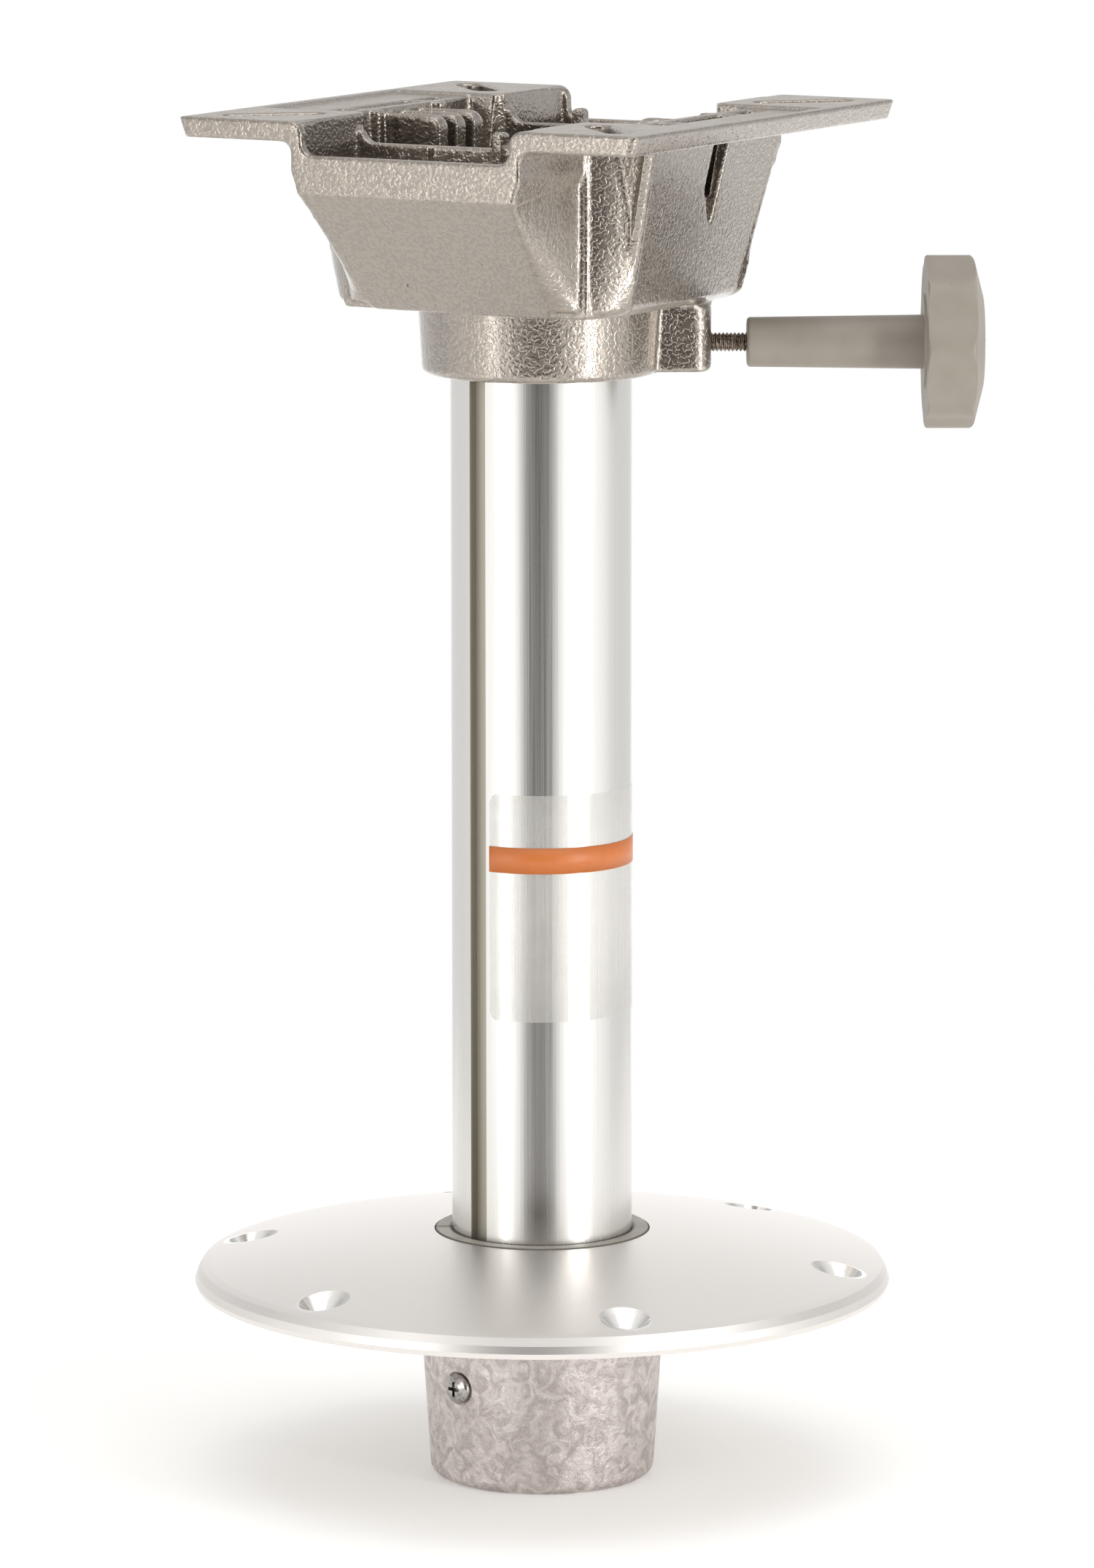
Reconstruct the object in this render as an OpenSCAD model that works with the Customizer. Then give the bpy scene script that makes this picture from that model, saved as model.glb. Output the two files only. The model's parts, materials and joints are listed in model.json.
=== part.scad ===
// Fixed height boat seat pedestal: a cast deck base with a socket, an extruded
// post that plugs into it and a cast seat mount that swivels on the post and is
// locked by a hand knob. Millimetres, +Z up, origin on the post's axis in the
// deck plane. The seat mount's sides lie along X and Y.

/* [Deck base] */
// Outer diameter of the deck plate
plate_d = 232; // [215:1:270]
// Height of the plate's crown above the deck, beside the socket
plate_rise = 18.2; // [15:0.1:22]
// Radius of the plate's shallow dome
dome_r = 520; // [450:10:900]
// Thickness of the plate
plate_t = 4.6; // [3.5:0.1:6]
// Height of the rounded outer rim
rim_h = 6; // [4.5:0.1:7]
// Width of the rim's foot ring on the deck
rim_w = 8; // [5:0.5:12]
// Distance of the deck screws from the plate's edge
bolt_in = 13.5; // [12:0.5:20]
// Diameter of the deck screw holes
bolt_hole_d = 7.4; // [5:0.1:9]
// Countersink diameter at the surface
sink_d = 16.5; // [13:0.5:18]
// Diameter of the bosses under the deck screws
boss_d = 15; // [12:0.5:17]
// Number of deck screws
bolt_count = 6; // [4:1:8]
// Thickness of the ribs under the plate
rib_t = 4; // [2.5:0.5:6]
// Depth of the cup below the deck
cup_depth = 64.8; // [50:0.2:90]
// Outer radius of the cup at its foot
cup_foot_r = 37.2; // [36.8:0.1:40]
// Draft of the cup's outside, in degrees
cup_draft = 3.4; // [1:0.1:5]
// Thickness of the cup's floor
cup_floor_t = 5; // [3:0.5:8]
// Edge radius at the cup's foot
cup_foot_round = 3.5; // [1:0.5:5]

/* [Socket liner] */
// Wall thickness of the liner
liner_t = 3; // [2:0.1:3.2]
// Thickness of the liner's flange
liner_flange_t = 2.4; // [1.6:0.1:4]
// How far the flange reaches past the liner's wall
liner_flange_w = 2.6; // [1:0.1:4]
// How far the flange stands proud of the plate
liner_proud = 0.4; // [0.1:0.1:1.5]
// Width of the slit in the liner
liner_slit_w = 1.2; // [0.6:0.1:3]
// Direction of the slit, in degrees from +X
liner_slit_a = -150; // [-160:1:-120]

/* [Key screw] */
// Direction of the key screw and the post's groove, in degrees from +X
key_a = -105; // [-120:1:-90]
// Distance of the key screw below the deck
key_drop = 30.3; // [20:0.1:40]
// Shank diameter of the key screw
key_d = 5; // [4:0.1:6]
// Diameter of the key screw's pan head
key_head_d = 10.4; // [8:0.1:11]
// Height of the key screw's head
key_head_h = 3.3; // [2:0.1:4.5]

/* [Post] */
// Outer diameter of the post
post_d = 60; // [58:0.5:61]
// Wall thickness of the post
post_wall = 3; // [2.5:0.1:4]
// Length of the post
post_l = 419.7; // [380:0.1:700]
// Width of the groove along the post
groove_w = 7.2; // [6.4:0.1:9]
// Depth of the groove
groove_depth = 3; // [2.4:0.1:4]
// Running clearance between the post and the sleeves around it
post_gap = 0.08; // [0.02:0.01:0.1]

/* [Seat mount] */
// Size of the seat face along X
top_w = 170; // [160:1:190]
// Size of the seat face along Y
top_l = 177; // [176:1:200]
// Thickness of the flange
flange_t = 6.6; // [5:0.1:9]
// Wall thickness of the bowl
bowl_wall = 4; // [3:0.1:4.5]
// Height of the bowl from its underside to the seat face
bowl_h = 63; // [56:1:80]
// Thickness of the bowl's floor
bowl_floor_t = 4.5; // [3:0.1:7]
// Half width of the bowl's foot along X
foot_x = 53.5; // [50:0.5:60]
// Half width of the bowl's foot along Y
foot_y = 55; // [54:0.5:60]
// Lean of the walls on the X sides, in degrees
lean_x = 13.5; // [8:0.5:18]
// Height of the upright lip on the Y sides, below the seat face
lip_h = 23.2; // [18:0.2:30]
// Half width of the saddle cut in each Y side
saddle_w = 38.2; // [30:0.1:38.6]
// Depth of the saddle cut
saddle_depth = 10.8; // [6:0.1:14]
// Width of the inner opening between the rails, from the centre
rail_in = 52; // [48:0.5:54]
// Height of the corner pads above the rails between them
pad_step = 1.2; // [0.4:0.1:2]
// Half size of the upright core along X
core_x = 46.5; // [44:0.5:48]
// Half size of the upright core along Y
core_y = 50.5; // [48:0.5:52]
// Width of the diagonal seat bolt slots
slot_w = 8.6; // [6:0.1:10]
// Length of the diagonal seat bolt slots
slot_l = 34; // [20:0.5:36]
// Distance of each slot's centre from the edges of the seat face
slot_in = 22.7; // [20:0.1:30]

/* [Hub] */
// Radius of the collar at its lower edge
collar_r = 39.3; // [38.5:0.1:42]
// Height of the collar below the bowl
collar_h = 23.6; // [18:0.2:32]
// Wall thickness of the hub tower inside the bowl
hub_wall = 5.2; // [4:0.1:5.4]
// Thickness of the hub's ceiling
ceiling_t = 6; // [4:0.5:9]
// Wall thickness of the swivel sleeves
sleeve_t = 3; // [2:0.1:3.4]
// Length of each swivel sleeve
sleeve_l = 23; // [18:1:25]
// Thickness of the thrust washer
thrust_t = 2; // [1:0.1:4]
// Thickness of the post plug's head
plug_head_t = 3; // [2:0.1:5]
// Length of the post plug inside the post
plug_l = 24; // [12:1:40]
// Diameter of the retaining bolt
bolt_d = 10; // [8:0.5:12]
// Width across the flats of the bolt's head
bolt_af = 17; // [13:0.5:19]
// Height of the bolt's head
bolt_head_h = 6.4; // [4:0.1:8]
// Diameter of the washer under the bolt's head
washer_d = 26; // [20:0.5:30]
// Thickness of that washer
washer_t = 2; // [1:0.1:3]

/* [Lock knob] */
// Direction of the knob, in degrees from +X
knob_a = 30; // [28:0.5:32]
// Height of the knob's axis above the collar's lower edge
knob_up = 9.6; // [8:0.1:12]
// Distance from the post's axis to the end of the threaded boss
boss_end = 55.7; // [52:0.1:58]
// Width of the threaded boss
boss_w = 25; // [20:0.5:30]
// Height of the boss's underside above the collar's lower edge
boss_up = 0.8; // [0.4:0.1:2]
// Diameter of the threaded rod
rod_d = 6.35; // [5:0.05:8]
// Length of rod that shows between the boss and the knob
rod_free = 11.7; // [4:0.1:20]
// Length of rod held in the knob
rod_hold = 20; // [12:1:30]
// Diameter of the friction pad
pad_d = 10; // [8:0.5:12]
// Length of the friction pad
pad_l = 5.7; // [4:0.1:7]
// Length of the knob's stem
stem_l = 58.5; // [40:0.5:80]
// Diameter of the stem at its free end
stem_d = 16.3; // [12:0.1:20]
// Draft of the stem, in degrees
stem_draft = 0.75; // [0:0.05:2]
// Diameter of the knob's head over the lobes
head_d = 57; // [44:0.5:64]
// Thickness of the head at its rim
head_t = 15.6; // [10:0.1:20]
// Rise of the head's domed face
head_rise = 3.9; // [1:0.1:6]
// Number of lobes on the head
lobes = 8; // [5:1:10]
// Depth of the hollows between the lobes
lobe_depth = 2; // [0.5:0.1:3]

/* [Hidden] */
$fn = 96;

// Clearance between pieces that are fixed together
fixed_gap = 0.1;
// Clearance between a turning face and what it turns over
face_gap = 0.3;
// Overlap of cuts past a face
eps = 0.5;

post_r = post_d / 2;
run_r = post_r + post_gap;

// Socket
liner_r = run_r + liner_t;
cup_bore_r = liner_r + fixed_gap;
liner_flange_r = liner_r + liner_flange_w;
liner_seat_r = liner_flange_r + 0.3;
liner_seat_z = plate_rise + liner_proud - liner_flange_t;
cup_floor_z = -cup_depth + cup_floor_t;
liner_foot_z = cup_floor_z + 4;
plate_r = plate_d / 2;
bolt_r = plate_r - bolt_in;
rim_round = rim_h * 0.85;
bolt_step = 360 / bolt_count;
key_z = -key_drop;
key_seat_r = cup_r(key_z) - key_head_d * key_head_d / (8 * cup_r(key_z)) - 0.3;
groove_floor_r = post_r - groove_depth;
key_tip_r = groove_floor_r + 0.6;

// Post
post_z0 = cup_floor_z;
post_z1 = post_z0 + post_l;
post_in_r = post_r - post_wall;
groove_rib_w = groove_w + 2 * post_wall;
groove_rib_r = groove_floor_r - post_wall;

// Hub, built down from the post's top
plug_top_z = post_z1 + plug_head_t;
ceiling_z0 = plug_top_z + thrust_t + 0.2;
ceiling_z1 = ceiling_z0 + ceiling_t;
hub_bore_r = run_r + sleeve_t + fixed_gap;
hub_r = hub_bore_r + hub_wall;
bowl_z0 = ceiling_z1 - 42;
seat_z = bowl_z0 + bowl_h;
collar_z0 = bowl_z0 - collar_h;
boss_z0 = collar_z0 + boss_up;
boss_round = 6;
flange_z0 = seat_z - flange_t;
lower_sleeve_z0 = collar_z0 + 1;
upper_sleeve_z1 = ceiling_z0 - 2;
washer_z0 = ceiling_z1 + face_gap;
bolt_head_z0 = washer_z0 + washer_t;
bolt_bore_r = bolt_d / 2 + 0.5;

// Bowl
floor_z = bowl_z0 + bowl_floor_t;
lip_z = seat_z - lip_h;
bevel = 2.5;
lip_y = top_l / 2;
arm_foot_x = 34.4;
arm_crease_x = 39.5;
lip_x = arm_crease_x + 5;
end_foot_y = 37.5;
end_top_y = 44.4;
wall_top_x = foot_x + (flange_z0 - bowl_z0 - bevel) * tan(lean_x);
saddle_z = seat_z - saddle_depth;
inner_y = core_y - bowl_wall;
mouth_x = 40.2;
fin_y = 11.4;
fin_t = 3.2;
fin_end_x = 30;
fin_top_z = seat_z - 2.8;
pillar_y = 20;
cross_top_z = saddle_z + 1.4;
slot_y = top_l / 2 - slot_in;
slot_x = top_w / 2 - slot_in;
pocket_in = rail_in + bowl_wall;
pocket_skin = bowl_wall - 0.6;
pocket_foot = pocket_in + 2;
pocket_top = wall_top_x - pocket_skin;
pocket_z = bowl_z0 + bevel + (pocket_foot + pocket_skin - foot_x) / tan(lean_x);

// Knob
knob_z = collar_z0 + knob_up;
pad_r0 = post_r + face_gap;
pad_r1 = pad_r0 + pad_l;
pad_seat_r = pad_d / 2 + 0.2;
rod_bore_r = rod_d / 2 + 0.06;
stem_r0 = boss_end + rod_free;
rod_r1 = stem_r0 + rod_hold;
head_r0 = stem_r0 + stem_l;
stem_root_d = stem_d + 2 * stem_l * tan(stem_draft);

// Colours
raw_cast = [0.72, 0.70, 0.68];
satin_alloy = [0.83, 0.83, 0.82];
champagne = [0.67, 0.64, 0.60];
nylon = [0.80, 0.79, 0.76];
steel = [0.62, 0.62, 0.63];
moulded = [0.65, 0.62, 0.58];

// Surface height of the domed plate at radius r
function dome(r) = plate_rise + sqrt(dome_r * dome_r - r * r)
    - sqrt(dome_r * dome_r - liner_seat_r * liner_seat_r);

// Outer radius of the cup at height z
function cup_r(z) = cup_foot_r + (z + cup_depth) * tan(cup_draft);

function unit(v) = v / norm(v);

// Points of an arc round c, from angle a0 to a1
function arc(c, r, a0, a1, n) =
    [for (i = [0:n]) c + r * [cos(a0 + (a1 - a0) * i / n), sin(a0 + (a1 - a0) * i / n)]];

function short_turn(t) = t > 180 ? t - 360 : t < -180 ? t + 360 : t;

// One corner b of an outline, between its neighbours a and c, rounded to r
function corner(a, b, c, r, n) = r <= 0 ? [b] :
    let (u = unit(a - b),
         v = unit(c - b),
         half = acos(max(-1, min(1, u * v))) / 2,
         m = b + unit(u + v) * r / sin(half),
         p = b + u * r / tan(half) - m,
         q = b + v * r / tan(half) - m,
         a0 = atan2(p.y, p.x))
    arc(m, r, a0, a0 + short_turn(atan2(q.y, q.x) - a0), n);

// An outline with each corner rounded to its own radius
function rounded(pts, radii, n = 6) =
    let (k = len(pts))
    [for (i = [0:k - 1]) each corner(pts[(i + k - 1) % k], pts[i], pts[(i + 1) % k], radii[i], n)];

// The right half of an outline, completed by its mirror image
function both(half) = concat(half, [for (i = [len(half) - 1:-1:0]) [-half[i].x, half[i].y]]);
function both_r(radii) = concat(radii, [for (i = [len(radii) - 1:-1:0]) radii[i]]);

// Outline in the X-Z plane, pushed along Y from y0 to y1
module along_y(y0, y1) {
    translate([0, y1, 0])
        rotate([90, 0, 0])
            linear_extrude(y1 - y0)
                children();
}

// Outline whose own X is the part's Y, pushed along X from x0 to x1
module along_x(x0, x1) {
    translate([x0, 0, 0])
        rotate([90, 0, 90])
            linear_extrude(x1 - x0)
                children();
}

module block(lo, hi) {
    translate(lo)
        cube(hi - lo);
}

// Straight slot with round ends, centred on the origin, its length along X
module slot(length, width, z0, z1) {
    half = (length - width) / 2;
    for (s = [-1, 1])
        translate([s * half, 0, z0])
            cylinder(d = width, h = z1 - z0);
    block([-half, -width / 2, z0], [half, width / 2, z1]);
}

// Ring of rectangular section round Z
module ring(r0, r1, z0, z1) {
    rotate_extrude()
        polygon([[r0, z0], [r1, z0], [r1, z1], [r0, z1]]);
}

// deck base

// Half section of the plate, cup and rim as one casting
module base_section() {
    under_r = plate_r - rim_w;
    cup_top_r = cup_r(dome(40) - plate_t);
    top = [for (i = [0:14]) let (r = liner_seat_r + (plate_r - rim_round - liner_seat_r) * i / 14) [r, dome(r)]];
    under = [for (i = [0:8]) let (r = under_r + 1.5 + (cup_top_r + 5 - under_r - 1.5) * i / 8) [r, dome(r) - plate_t]];
    foot = rounded([[cup_top_r, dome(40) - plate_t - 5],
                    [cup_foot_r, -cup_depth],
                    [0, -cup_depth]], [0, cup_foot_round, 0]);
    polygon(concat(
        [[0, cup_floor_z], [cup_bore_r, cup_floor_z], [cup_bore_r, liner_seat_z], [liner_seat_r, liner_seat_z]],
        top,
        [[plate_r - rim_round * 0.45, rim_h * 0.92 + 1.2], [plate_r - 0.8, rim_h * 0.6 + 0.6]],
        [[plate_r, rim_h * 0.3], [plate_r - 0.7, 0], [under_r, 0]],
        under,
        foot));
}

// Rib under the plate, from the cup to the rim, with its top inside the plate
module base_rib() {
    r0 = cup_r(0) - 1;
    r1 = plate_r - rim_w + 1;
    along_y(-rib_t / 2, rib_t / 2)
        polygon(concat([[r0, 1.2], [r1, 1.2]],
                       [for (i = [0:6]) let (r = r1 + (r0 - r1) * i / 6) [r, dome(r) - plate_t + 0.8]]));
}

module deck_base() {
    color(raw_cast)
    difference() {
        union() {
            rotate_extrude()
                base_section();
            for (i = [0:bolt_count - 1]) {
                rotate([0, 0, key_a + i * bolt_step])
                    translate([bolt_r, 0, 0])
                        cylinder(d = boss_d, h = dome(bolt_r + boss_d / 2) - plate_t / 2);
                rotate([0, 0, key_a + (i + 0.5) * bolt_step])
                    base_rib();
            }
        }
        for (i = [0:bolt_count - 1])
            rotate([0, 0, key_a + i * bolt_step])
                translate([bolt_r, 0, 0])
                    screw_hole();
        rotate([0, 0, key_a])
            translate([0, 0, key_z])
                rotate([0, 90, 0]) {
                    cylinder(d = key_d + 2 * fixed_gap, h = cup_foot_r + 10);
                    translate([0, 0, key_seat_r])
                        cylinder(d = key_head_d + 1, h = 10);
                }
    }
}

// Through hole with a countersink that follows the sloping plate
module screw_hole() {
    sink_h = (sink_d - bolt_hole_d) / 2;
    translate([0, 0, -eps])
        cylinder(d = bolt_hole_d, h = plate_rise);
    translate([0, 0, dome(bolt_r) - sink_h])
        cylinder(d1 = bolt_hole_d, d2 = sink_d + 6, h = sink_h + 3);
}

// socket liner

module socket_liner() {
    color(nylon)
    difference() {
        rotate_extrude()
            polygon(rounded([[run_r, liner_foot_z], [liner_r, liner_foot_z],
                             [liner_r, liner_seat_z + fixed_gap], [liner_flange_r, liner_seat_z + fixed_gap],
                             [liner_flange_r, plate_rise + liner_proud], [run_r, plate_rise + liner_proud]],
                            [0.4, 0.4, 0, 0, 0.5, 0.6], 3));
        rotate([0, 0, liner_slit_a])
            block([run_r - 5, -liner_slit_w / 2, liner_foot_z - eps],
                  [liner_flange_r + 5, liner_slit_w / 2, plate_rise + liner_proud + eps]);
        rotate([0, 0, key_a])
            translate([run_r - 5, 0, key_z])
                rotate([0, 90, 0])
                    cylinder(d = key_d + 1, h = liner_t + 10);
    }
}

// key screw

// Pan head screw along X: its head outside the cup, its tip in the post's groove
module key_screw() {
    head_r = key_head_d / 2;
    cross_w = key_d * 0.24;
    color(steel)
    rotate([0, 0, key_a])
        translate([key_seat_r, 0, key_z])
            rotate([0, 90, 0])
                difference() {
                    union() {
                        rotate_extrude()
                            polygon(concat([[0, 0], [head_r, 0]],
                                           rounded([[head_r, 0.2], [head_r, key_head_h * 0.62],
                                                    [head_r * 0.45, key_head_h]],
                                                   [0, head_r * 0.28, 0]),
                                           [[0, key_head_h]]));
                        translate([0, 0, key_tip_r - key_seat_r])
                            cylinder(d = key_d, h = key_seat_r - key_tip_r + 0.1);
                    }
                    for (a = [0, 90])
                        rotate([0, 0, a])
                            block([-key_d * 0.5, -cross_w / 2, key_head_h * 0.4],
                                  [key_d * 0.5, cross_w / 2, key_head_h + 1]);
                }
}

// post

// Section of the extrusion: a round tube with a keyway and the rib behind it
module post_tube() {
    color(satin_alloy)
    translate([0, 0, post_z0])
        rotate([0, 0, key_a])
            difference() {
                cylinder(r = post_r, h = post_l);
                difference() {
                    translate([0, 0, -eps])
                        cylinder(r = post_in_r, h = post_l + 2 * eps);
                    block([groove_rib_r, -groove_rib_w / 2, -2 * eps],
                          [post_r - 1, groove_rib_w / 2, post_l + 2 * eps]);
                }
                block([groove_floor_r, -groove_w / 2, -eps], [post_r + 1, groove_w / 2, post_l + eps]);
            }
}

module post_plug() {
    plug_r = post_in_r - fixed_gap;
    color(raw_cast)
    rotate([0, 0, key_a])
        difference() {
            union() {
                translate([0, 0, post_z1])
                    cylinder(r = post_r - 0.4, h = plug_head_t);
                difference() {
                    translate([0, 0, post_z1 - plug_l])
                        cylinder(r = plug_r, h = plug_l + 0.1);
                    block([groove_rib_r - fixed_gap, -groove_rib_w / 2 - fixed_gap, post_z1 - plug_l - eps],
                          [post_r, groove_rib_w / 2 + fixed_gap, post_z1]);
                }
            }
            translate([0, 0, post_z1 - plug_l - eps])
                cylinder(r = bolt_d / 2 + 0.05, h = plug_l + plug_head_t + 2 * eps);
        }
}

// retaining bolt and washers

module retaining_bolt() {
    head_r = bolt_af / 2 / cos(30);
    color(steel)
    union() {
        intersection() {
            translate([0, 0, bolt_head_z0])
                cylinder(r = head_r, h = bolt_head_h, $fn = 6);
            translate([0, 0, bolt_head_z0 - 0.1])
                cylinder(r1 = head_r + 6, r2 = bolt_af / 2 - 0.6, h = bolt_head_h + 0.1);
        }
        translate([0, 0, post_z1 - plug_l + 2])
            cylinder(d = bolt_d, h = bolt_head_z0 - post_z1 + plug_l - 1.9);
    }
}

module bolt_washer() {
    color(steel)
        ring(bolt_d / 2 + 0.2, washer_d / 2, washer_z0, washer_z0 + washer_t);
}

module thrust_washer() {
    color(nylon)
        ring(bolt_bore_r + 3, post_r - 0.6, plug_top_z, plug_top_z + thrust_t);
}

// swivel sleeves

module sleeve(z0) {
    ring(run_r, run_r + sleeve_t, z0, z0 + sleeve_l);
}

module lower_sleeve() {
    color(nylon)
    difference() {
        sleeve(lower_sleeve_z0);
        rotate([0, 0, knob_a])
            translate([run_r - 3, 0, knob_z])
                rotate([0, 90, 0])
                    cylinder(r = pad_seat_r + 0.3, h = sleeve_t + 6);
    }
}

module upper_sleeve() {
    color(nylon)
        sleeve(upper_sleeve_z1 - sleeve_l);
}

// seat mount

// Wedges that run out to the upright lips on the Y sides
module arm_body() {
    intersection() {
        along_x(-top_w / 2, top_w / 2)
            polygon(both([[foot_y - bevel, bowl_z0], [foot_y, bowl_z0 + bevel], [lip_y, lip_z], [lip_y, seat_z]]));
        along_y(-lip_y, lip_y)
            polygon(rounded(both([[arm_foot_x, bowl_z0], [arm_crease_x, lip_z - 1], [lip_x, lip_z + 7],
                                  [lip_x, flange_z0], [lip_x + 10, flange_z0], [lip_x + 10, seat_z]]),
                            both_r([3, 4, 6, 4, 0, 0])));
    }
}

// Leaning end walls on the X sides
module end_body() {
    intersection() {
        along_y(-top_l / 2, top_l / 2)
            polygon(both([[foot_x - bevel, bowl_z0], [foot_x, bowl_z0 + bevel],
                          [wall_top_x, flange_z0], [wall_top_x, flange_z0 + 1]]));
        along_x(-top_w / 2, top_w / 2)
            polygon(rounded(both([[end_foot_y, bowl_z0], [end_top_y, flange_z0], [end_top_y, flange_z0 + 1]]),
                            both_r([6, 0, 0])));
    }
}

// Upright core with round corners, the pillars between the four walls
module core_body() {
    translate([0, 0, bowl_z0])
        linear_extrude(flange_z0 + 1 - bowl_z0)
            polygon(rounded([[core_x, core_y], [-core_x, core_y], [-core_x, -core_y], [core_x, -core_y]],
                            [4, 4, 4, 4]));
}

module flange_body() {
    translate([0, 0, flange_z0])
        linear_extrude(flange_t)
            polygon(rounded([[top_w / 2, top_l / 2], [-top_w / 2, top_l / 2],
                             [-top_w / 2, -top_l / 2], [top_w / 2, -top_l / 2]],
                            [2.5, 2.5, 2.5, 2.5]));
}

// Space inside the wedges, one wall in from the outside
module arm_space() {
    slope = atan2(lip_z - bowl_z0 - bevel, lip_y - foot_y);
    shift = bowl_wall / sin(slope);
    intersection() {
        along_x(-top_w / 2, top_w / 2)
            polygon(both([[foot_y - shift + (floor_z - bowl_z0 - bevel) / tan(slope), floor_z],
                          [lip_y - bowl_wall, lip_z + (shift - bowl_wall) * tan(slope)],
                          [lip_y - bowl_wall, seat_z + eps]]));
        along_y(-lip_y, lip_y)
            polygon(rounded(both([[arm_foot_x - bowl_wall, floor_z], [arm_crease_x - bowl_wall, lip_z],
                                  [mouth_x, lip_z + 7], [mouth_x, seat_z + eps]]),
                            both_r([3, 4, 6, 0])));
    }
}

// Space inside the core and between the leaning end walls
module core_space() {
    inner_x = core_x - bowl_wall;
    translate([0, 0, floor_z])
        linear_extrude(seat_z + eps - floor_z)
            polygon(rounded([[inner_x, inner_y], [-inner_x, inner_y], [-inner_x, -inner_y], [inner_x, -inner_y]],
                            [5, 5, 5, 5]));
    intersection() {
        along_y(-top_l / 2, top_l / 2)
            polygon(both([[foot_x - bowl_wall, floor_z], [rail_in, seat_z + eps]]));
        along_x(-top_w / 2, top_w / 2)
            polygon(both([[end_foot_y - bowl_wall, floor_z], [end_top_y - 1.5, seat_z + eps]]));
    }
}

// Saddle cut through each upright lip, with rounded shoulders
module saddle_cut() {
    outline = both([[saddle_w, saddle_z], [saddle_w, seat_z], [saddle_w + 20, seat_z], [saddle_w + 20, seat_z + 8]]);
    for (s = [-1, 1])
        along_y(min(s * (lip_y - 12), s * (lip_y + 1)), max(s * (lip_y - 12), s * (lip_y + 1)))
            polygon(rounded(outline, both_r([4, 4.5, 0, 0])));
}

// Pocket cored out of each thick rail, split by the pillar ribs
module rail_pockets() {
    half = end_top_y - 6;
    lead = bowl_wall / 2;
    for (s = [-1, 1])
        for (span = [[-half, -pillar_y - lead], [-pillar_y + lead, pillar_y - lead], [pillar_y + lead, half]])
            along_y(span[0], span[1])
                polygon([[s * pocket_in, seat_z + eps], [s * pocket_top, seat_z + eps],
                         [s * pocket_foot, pocket_z], [s * pocket_in, pocket_z]]);
}

// Blade shaped relief through the skin of each end wall
module wall_relief() {
    for (a = [0, 180])
        rotate([0, 0, a])
            along_x(pocket_in + 1.5, top_w / 2 - 6)
                polygon([[-2, flange_z0], [7.5, flange_z0], [6.5, seat_z - 37.3], [-2, seat_z - 23.9]]);
}

// Raised web across the mouth of each wedge, with a bead and a small tab
module cross_wall() {
    for (a = [0, 180])
        rotate([0, 0, a]) {
            along_y(-core_y, -inner_y)
                difference() {
                    polygon([[-core_x + 1, bowl_z0 + 1], [core_x - 1, bowl_z0 + 1],
                             [core_x - 1, flange_z0 + 1], [-core_x + 1, flange_z0 + 1]]);
                    polygon(rounded(both([[mouth_x - 1.5, cross_top_z], [mouth_x - 1.5, seat_z + 4]]),
                                    both_r([5, 0])));
                }
            block([-14, -core_y - 1.2, floor_z - 1], [-12, -core_y + 0.5, cross_top_z]);
            along_y(-core_y - 1.2, -inner_y)
                polygon(rounded([[11, floor_z], [15, floor_z], [15, seat_z - 4], [11, seat_z - 4]],
                                [0, 0, 1.2, 1.2], 4));
        }
}

// Stiffening fins and pillars on the inside of the rails
module inner_ribs() {
    for (s = [0, 180])
        rotate([0, 0, s]) {
            for (y = [-fin_y, 0, fin_y]) {
                along_y(y - fin_t / 2, y + fin_t / 2)
                    polygon(rounded([[fin_end_x, ceiling_z1 - 1], [foot_x - 1, ceiling_z1 - 1],
                                     [foot_x - 1, fin_top_z], [fin_end_x, fin_top_z]],
                                    [0, 0, 0, 4]));
                along_y(y - fin_t, y + fin_t)
                    polygon(rounded([[fin_end_x, ceiling_z1 - 1], [fin_end_x + 8, ceiling_z1 - 1],
                                     [fin_end_x + 8, fin_top_z - 0.6], [fin_end_x, fin_top_z - 0.6]],
                                    [0, 0, 0, 4]));
            }
            for (y = [-pillar_y, pillar_y])
                translate([0, y, floor_z - 1])
                    linear_extrude(seat_z - pad_step - floor_z + 1)
                        polygon(rounded([[rail_in - 3.5, -2.4], [rail_in + 1, -2.4],
                                         [rail_in + 1, 2.4], [rail_in - 3.5, 2.4]], [1.5, 0, 0, 1.5], 4));
            block([hub_r - 1, -2, floor_z - 1], [foot_x - 2, 2, ceiling_z1 - 0.5]);
            rotate([0, 0, 90])
                block([hub_r - 1, -2, floor_z - 1], [inner_y + 1, 2, ceiling_z1 - 3]);
        }
}

// Hub tower, drafted collar under the bowl and the boss for the knob's rod
module hub_body() {
    translate([0, 0, bowl_z0 + 1])
        cylinder(r = hub_r, h = ceiling_z1 - bowl_z0 - 1);
    rotate_extrude()
        polygon(rounded([[hub_bore_r - 1, collar_z0], [collar_r, collar_z0],
                         [collar_r + 1.5, bowl_z0 + 1], [hub_bore_r - 1, bowl_z0 + 1]], [0, 2, 0, 0]));
    rotate([0, 0, knob_a])
        intersection() {
            translate([0, 0, boss_z0])
                linear_extrude(bowl_z0 + 1 - boss_z0)
                    polygon(rounded([[hub_bore_r - 1, -boss_w / 2], [boss_end, -boss_w / 2],
                                     [boss_end, boss_w / 2], [hub_bore_r - 1, boss_w / 2]],
                                    [0, boss_round, boss_round, 0]));
            along_y(-boss_w, boss_w)
                polygon(rounded([[hub_bore_r - 2, boss_z0], [boss_end, boss_z0],
                                 [boss_end, bowl_z0 + 2], [hub_bore_r - 2, bowl_z0 + 2]], [0, 2.5, 0, 0]));
        }
}

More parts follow.
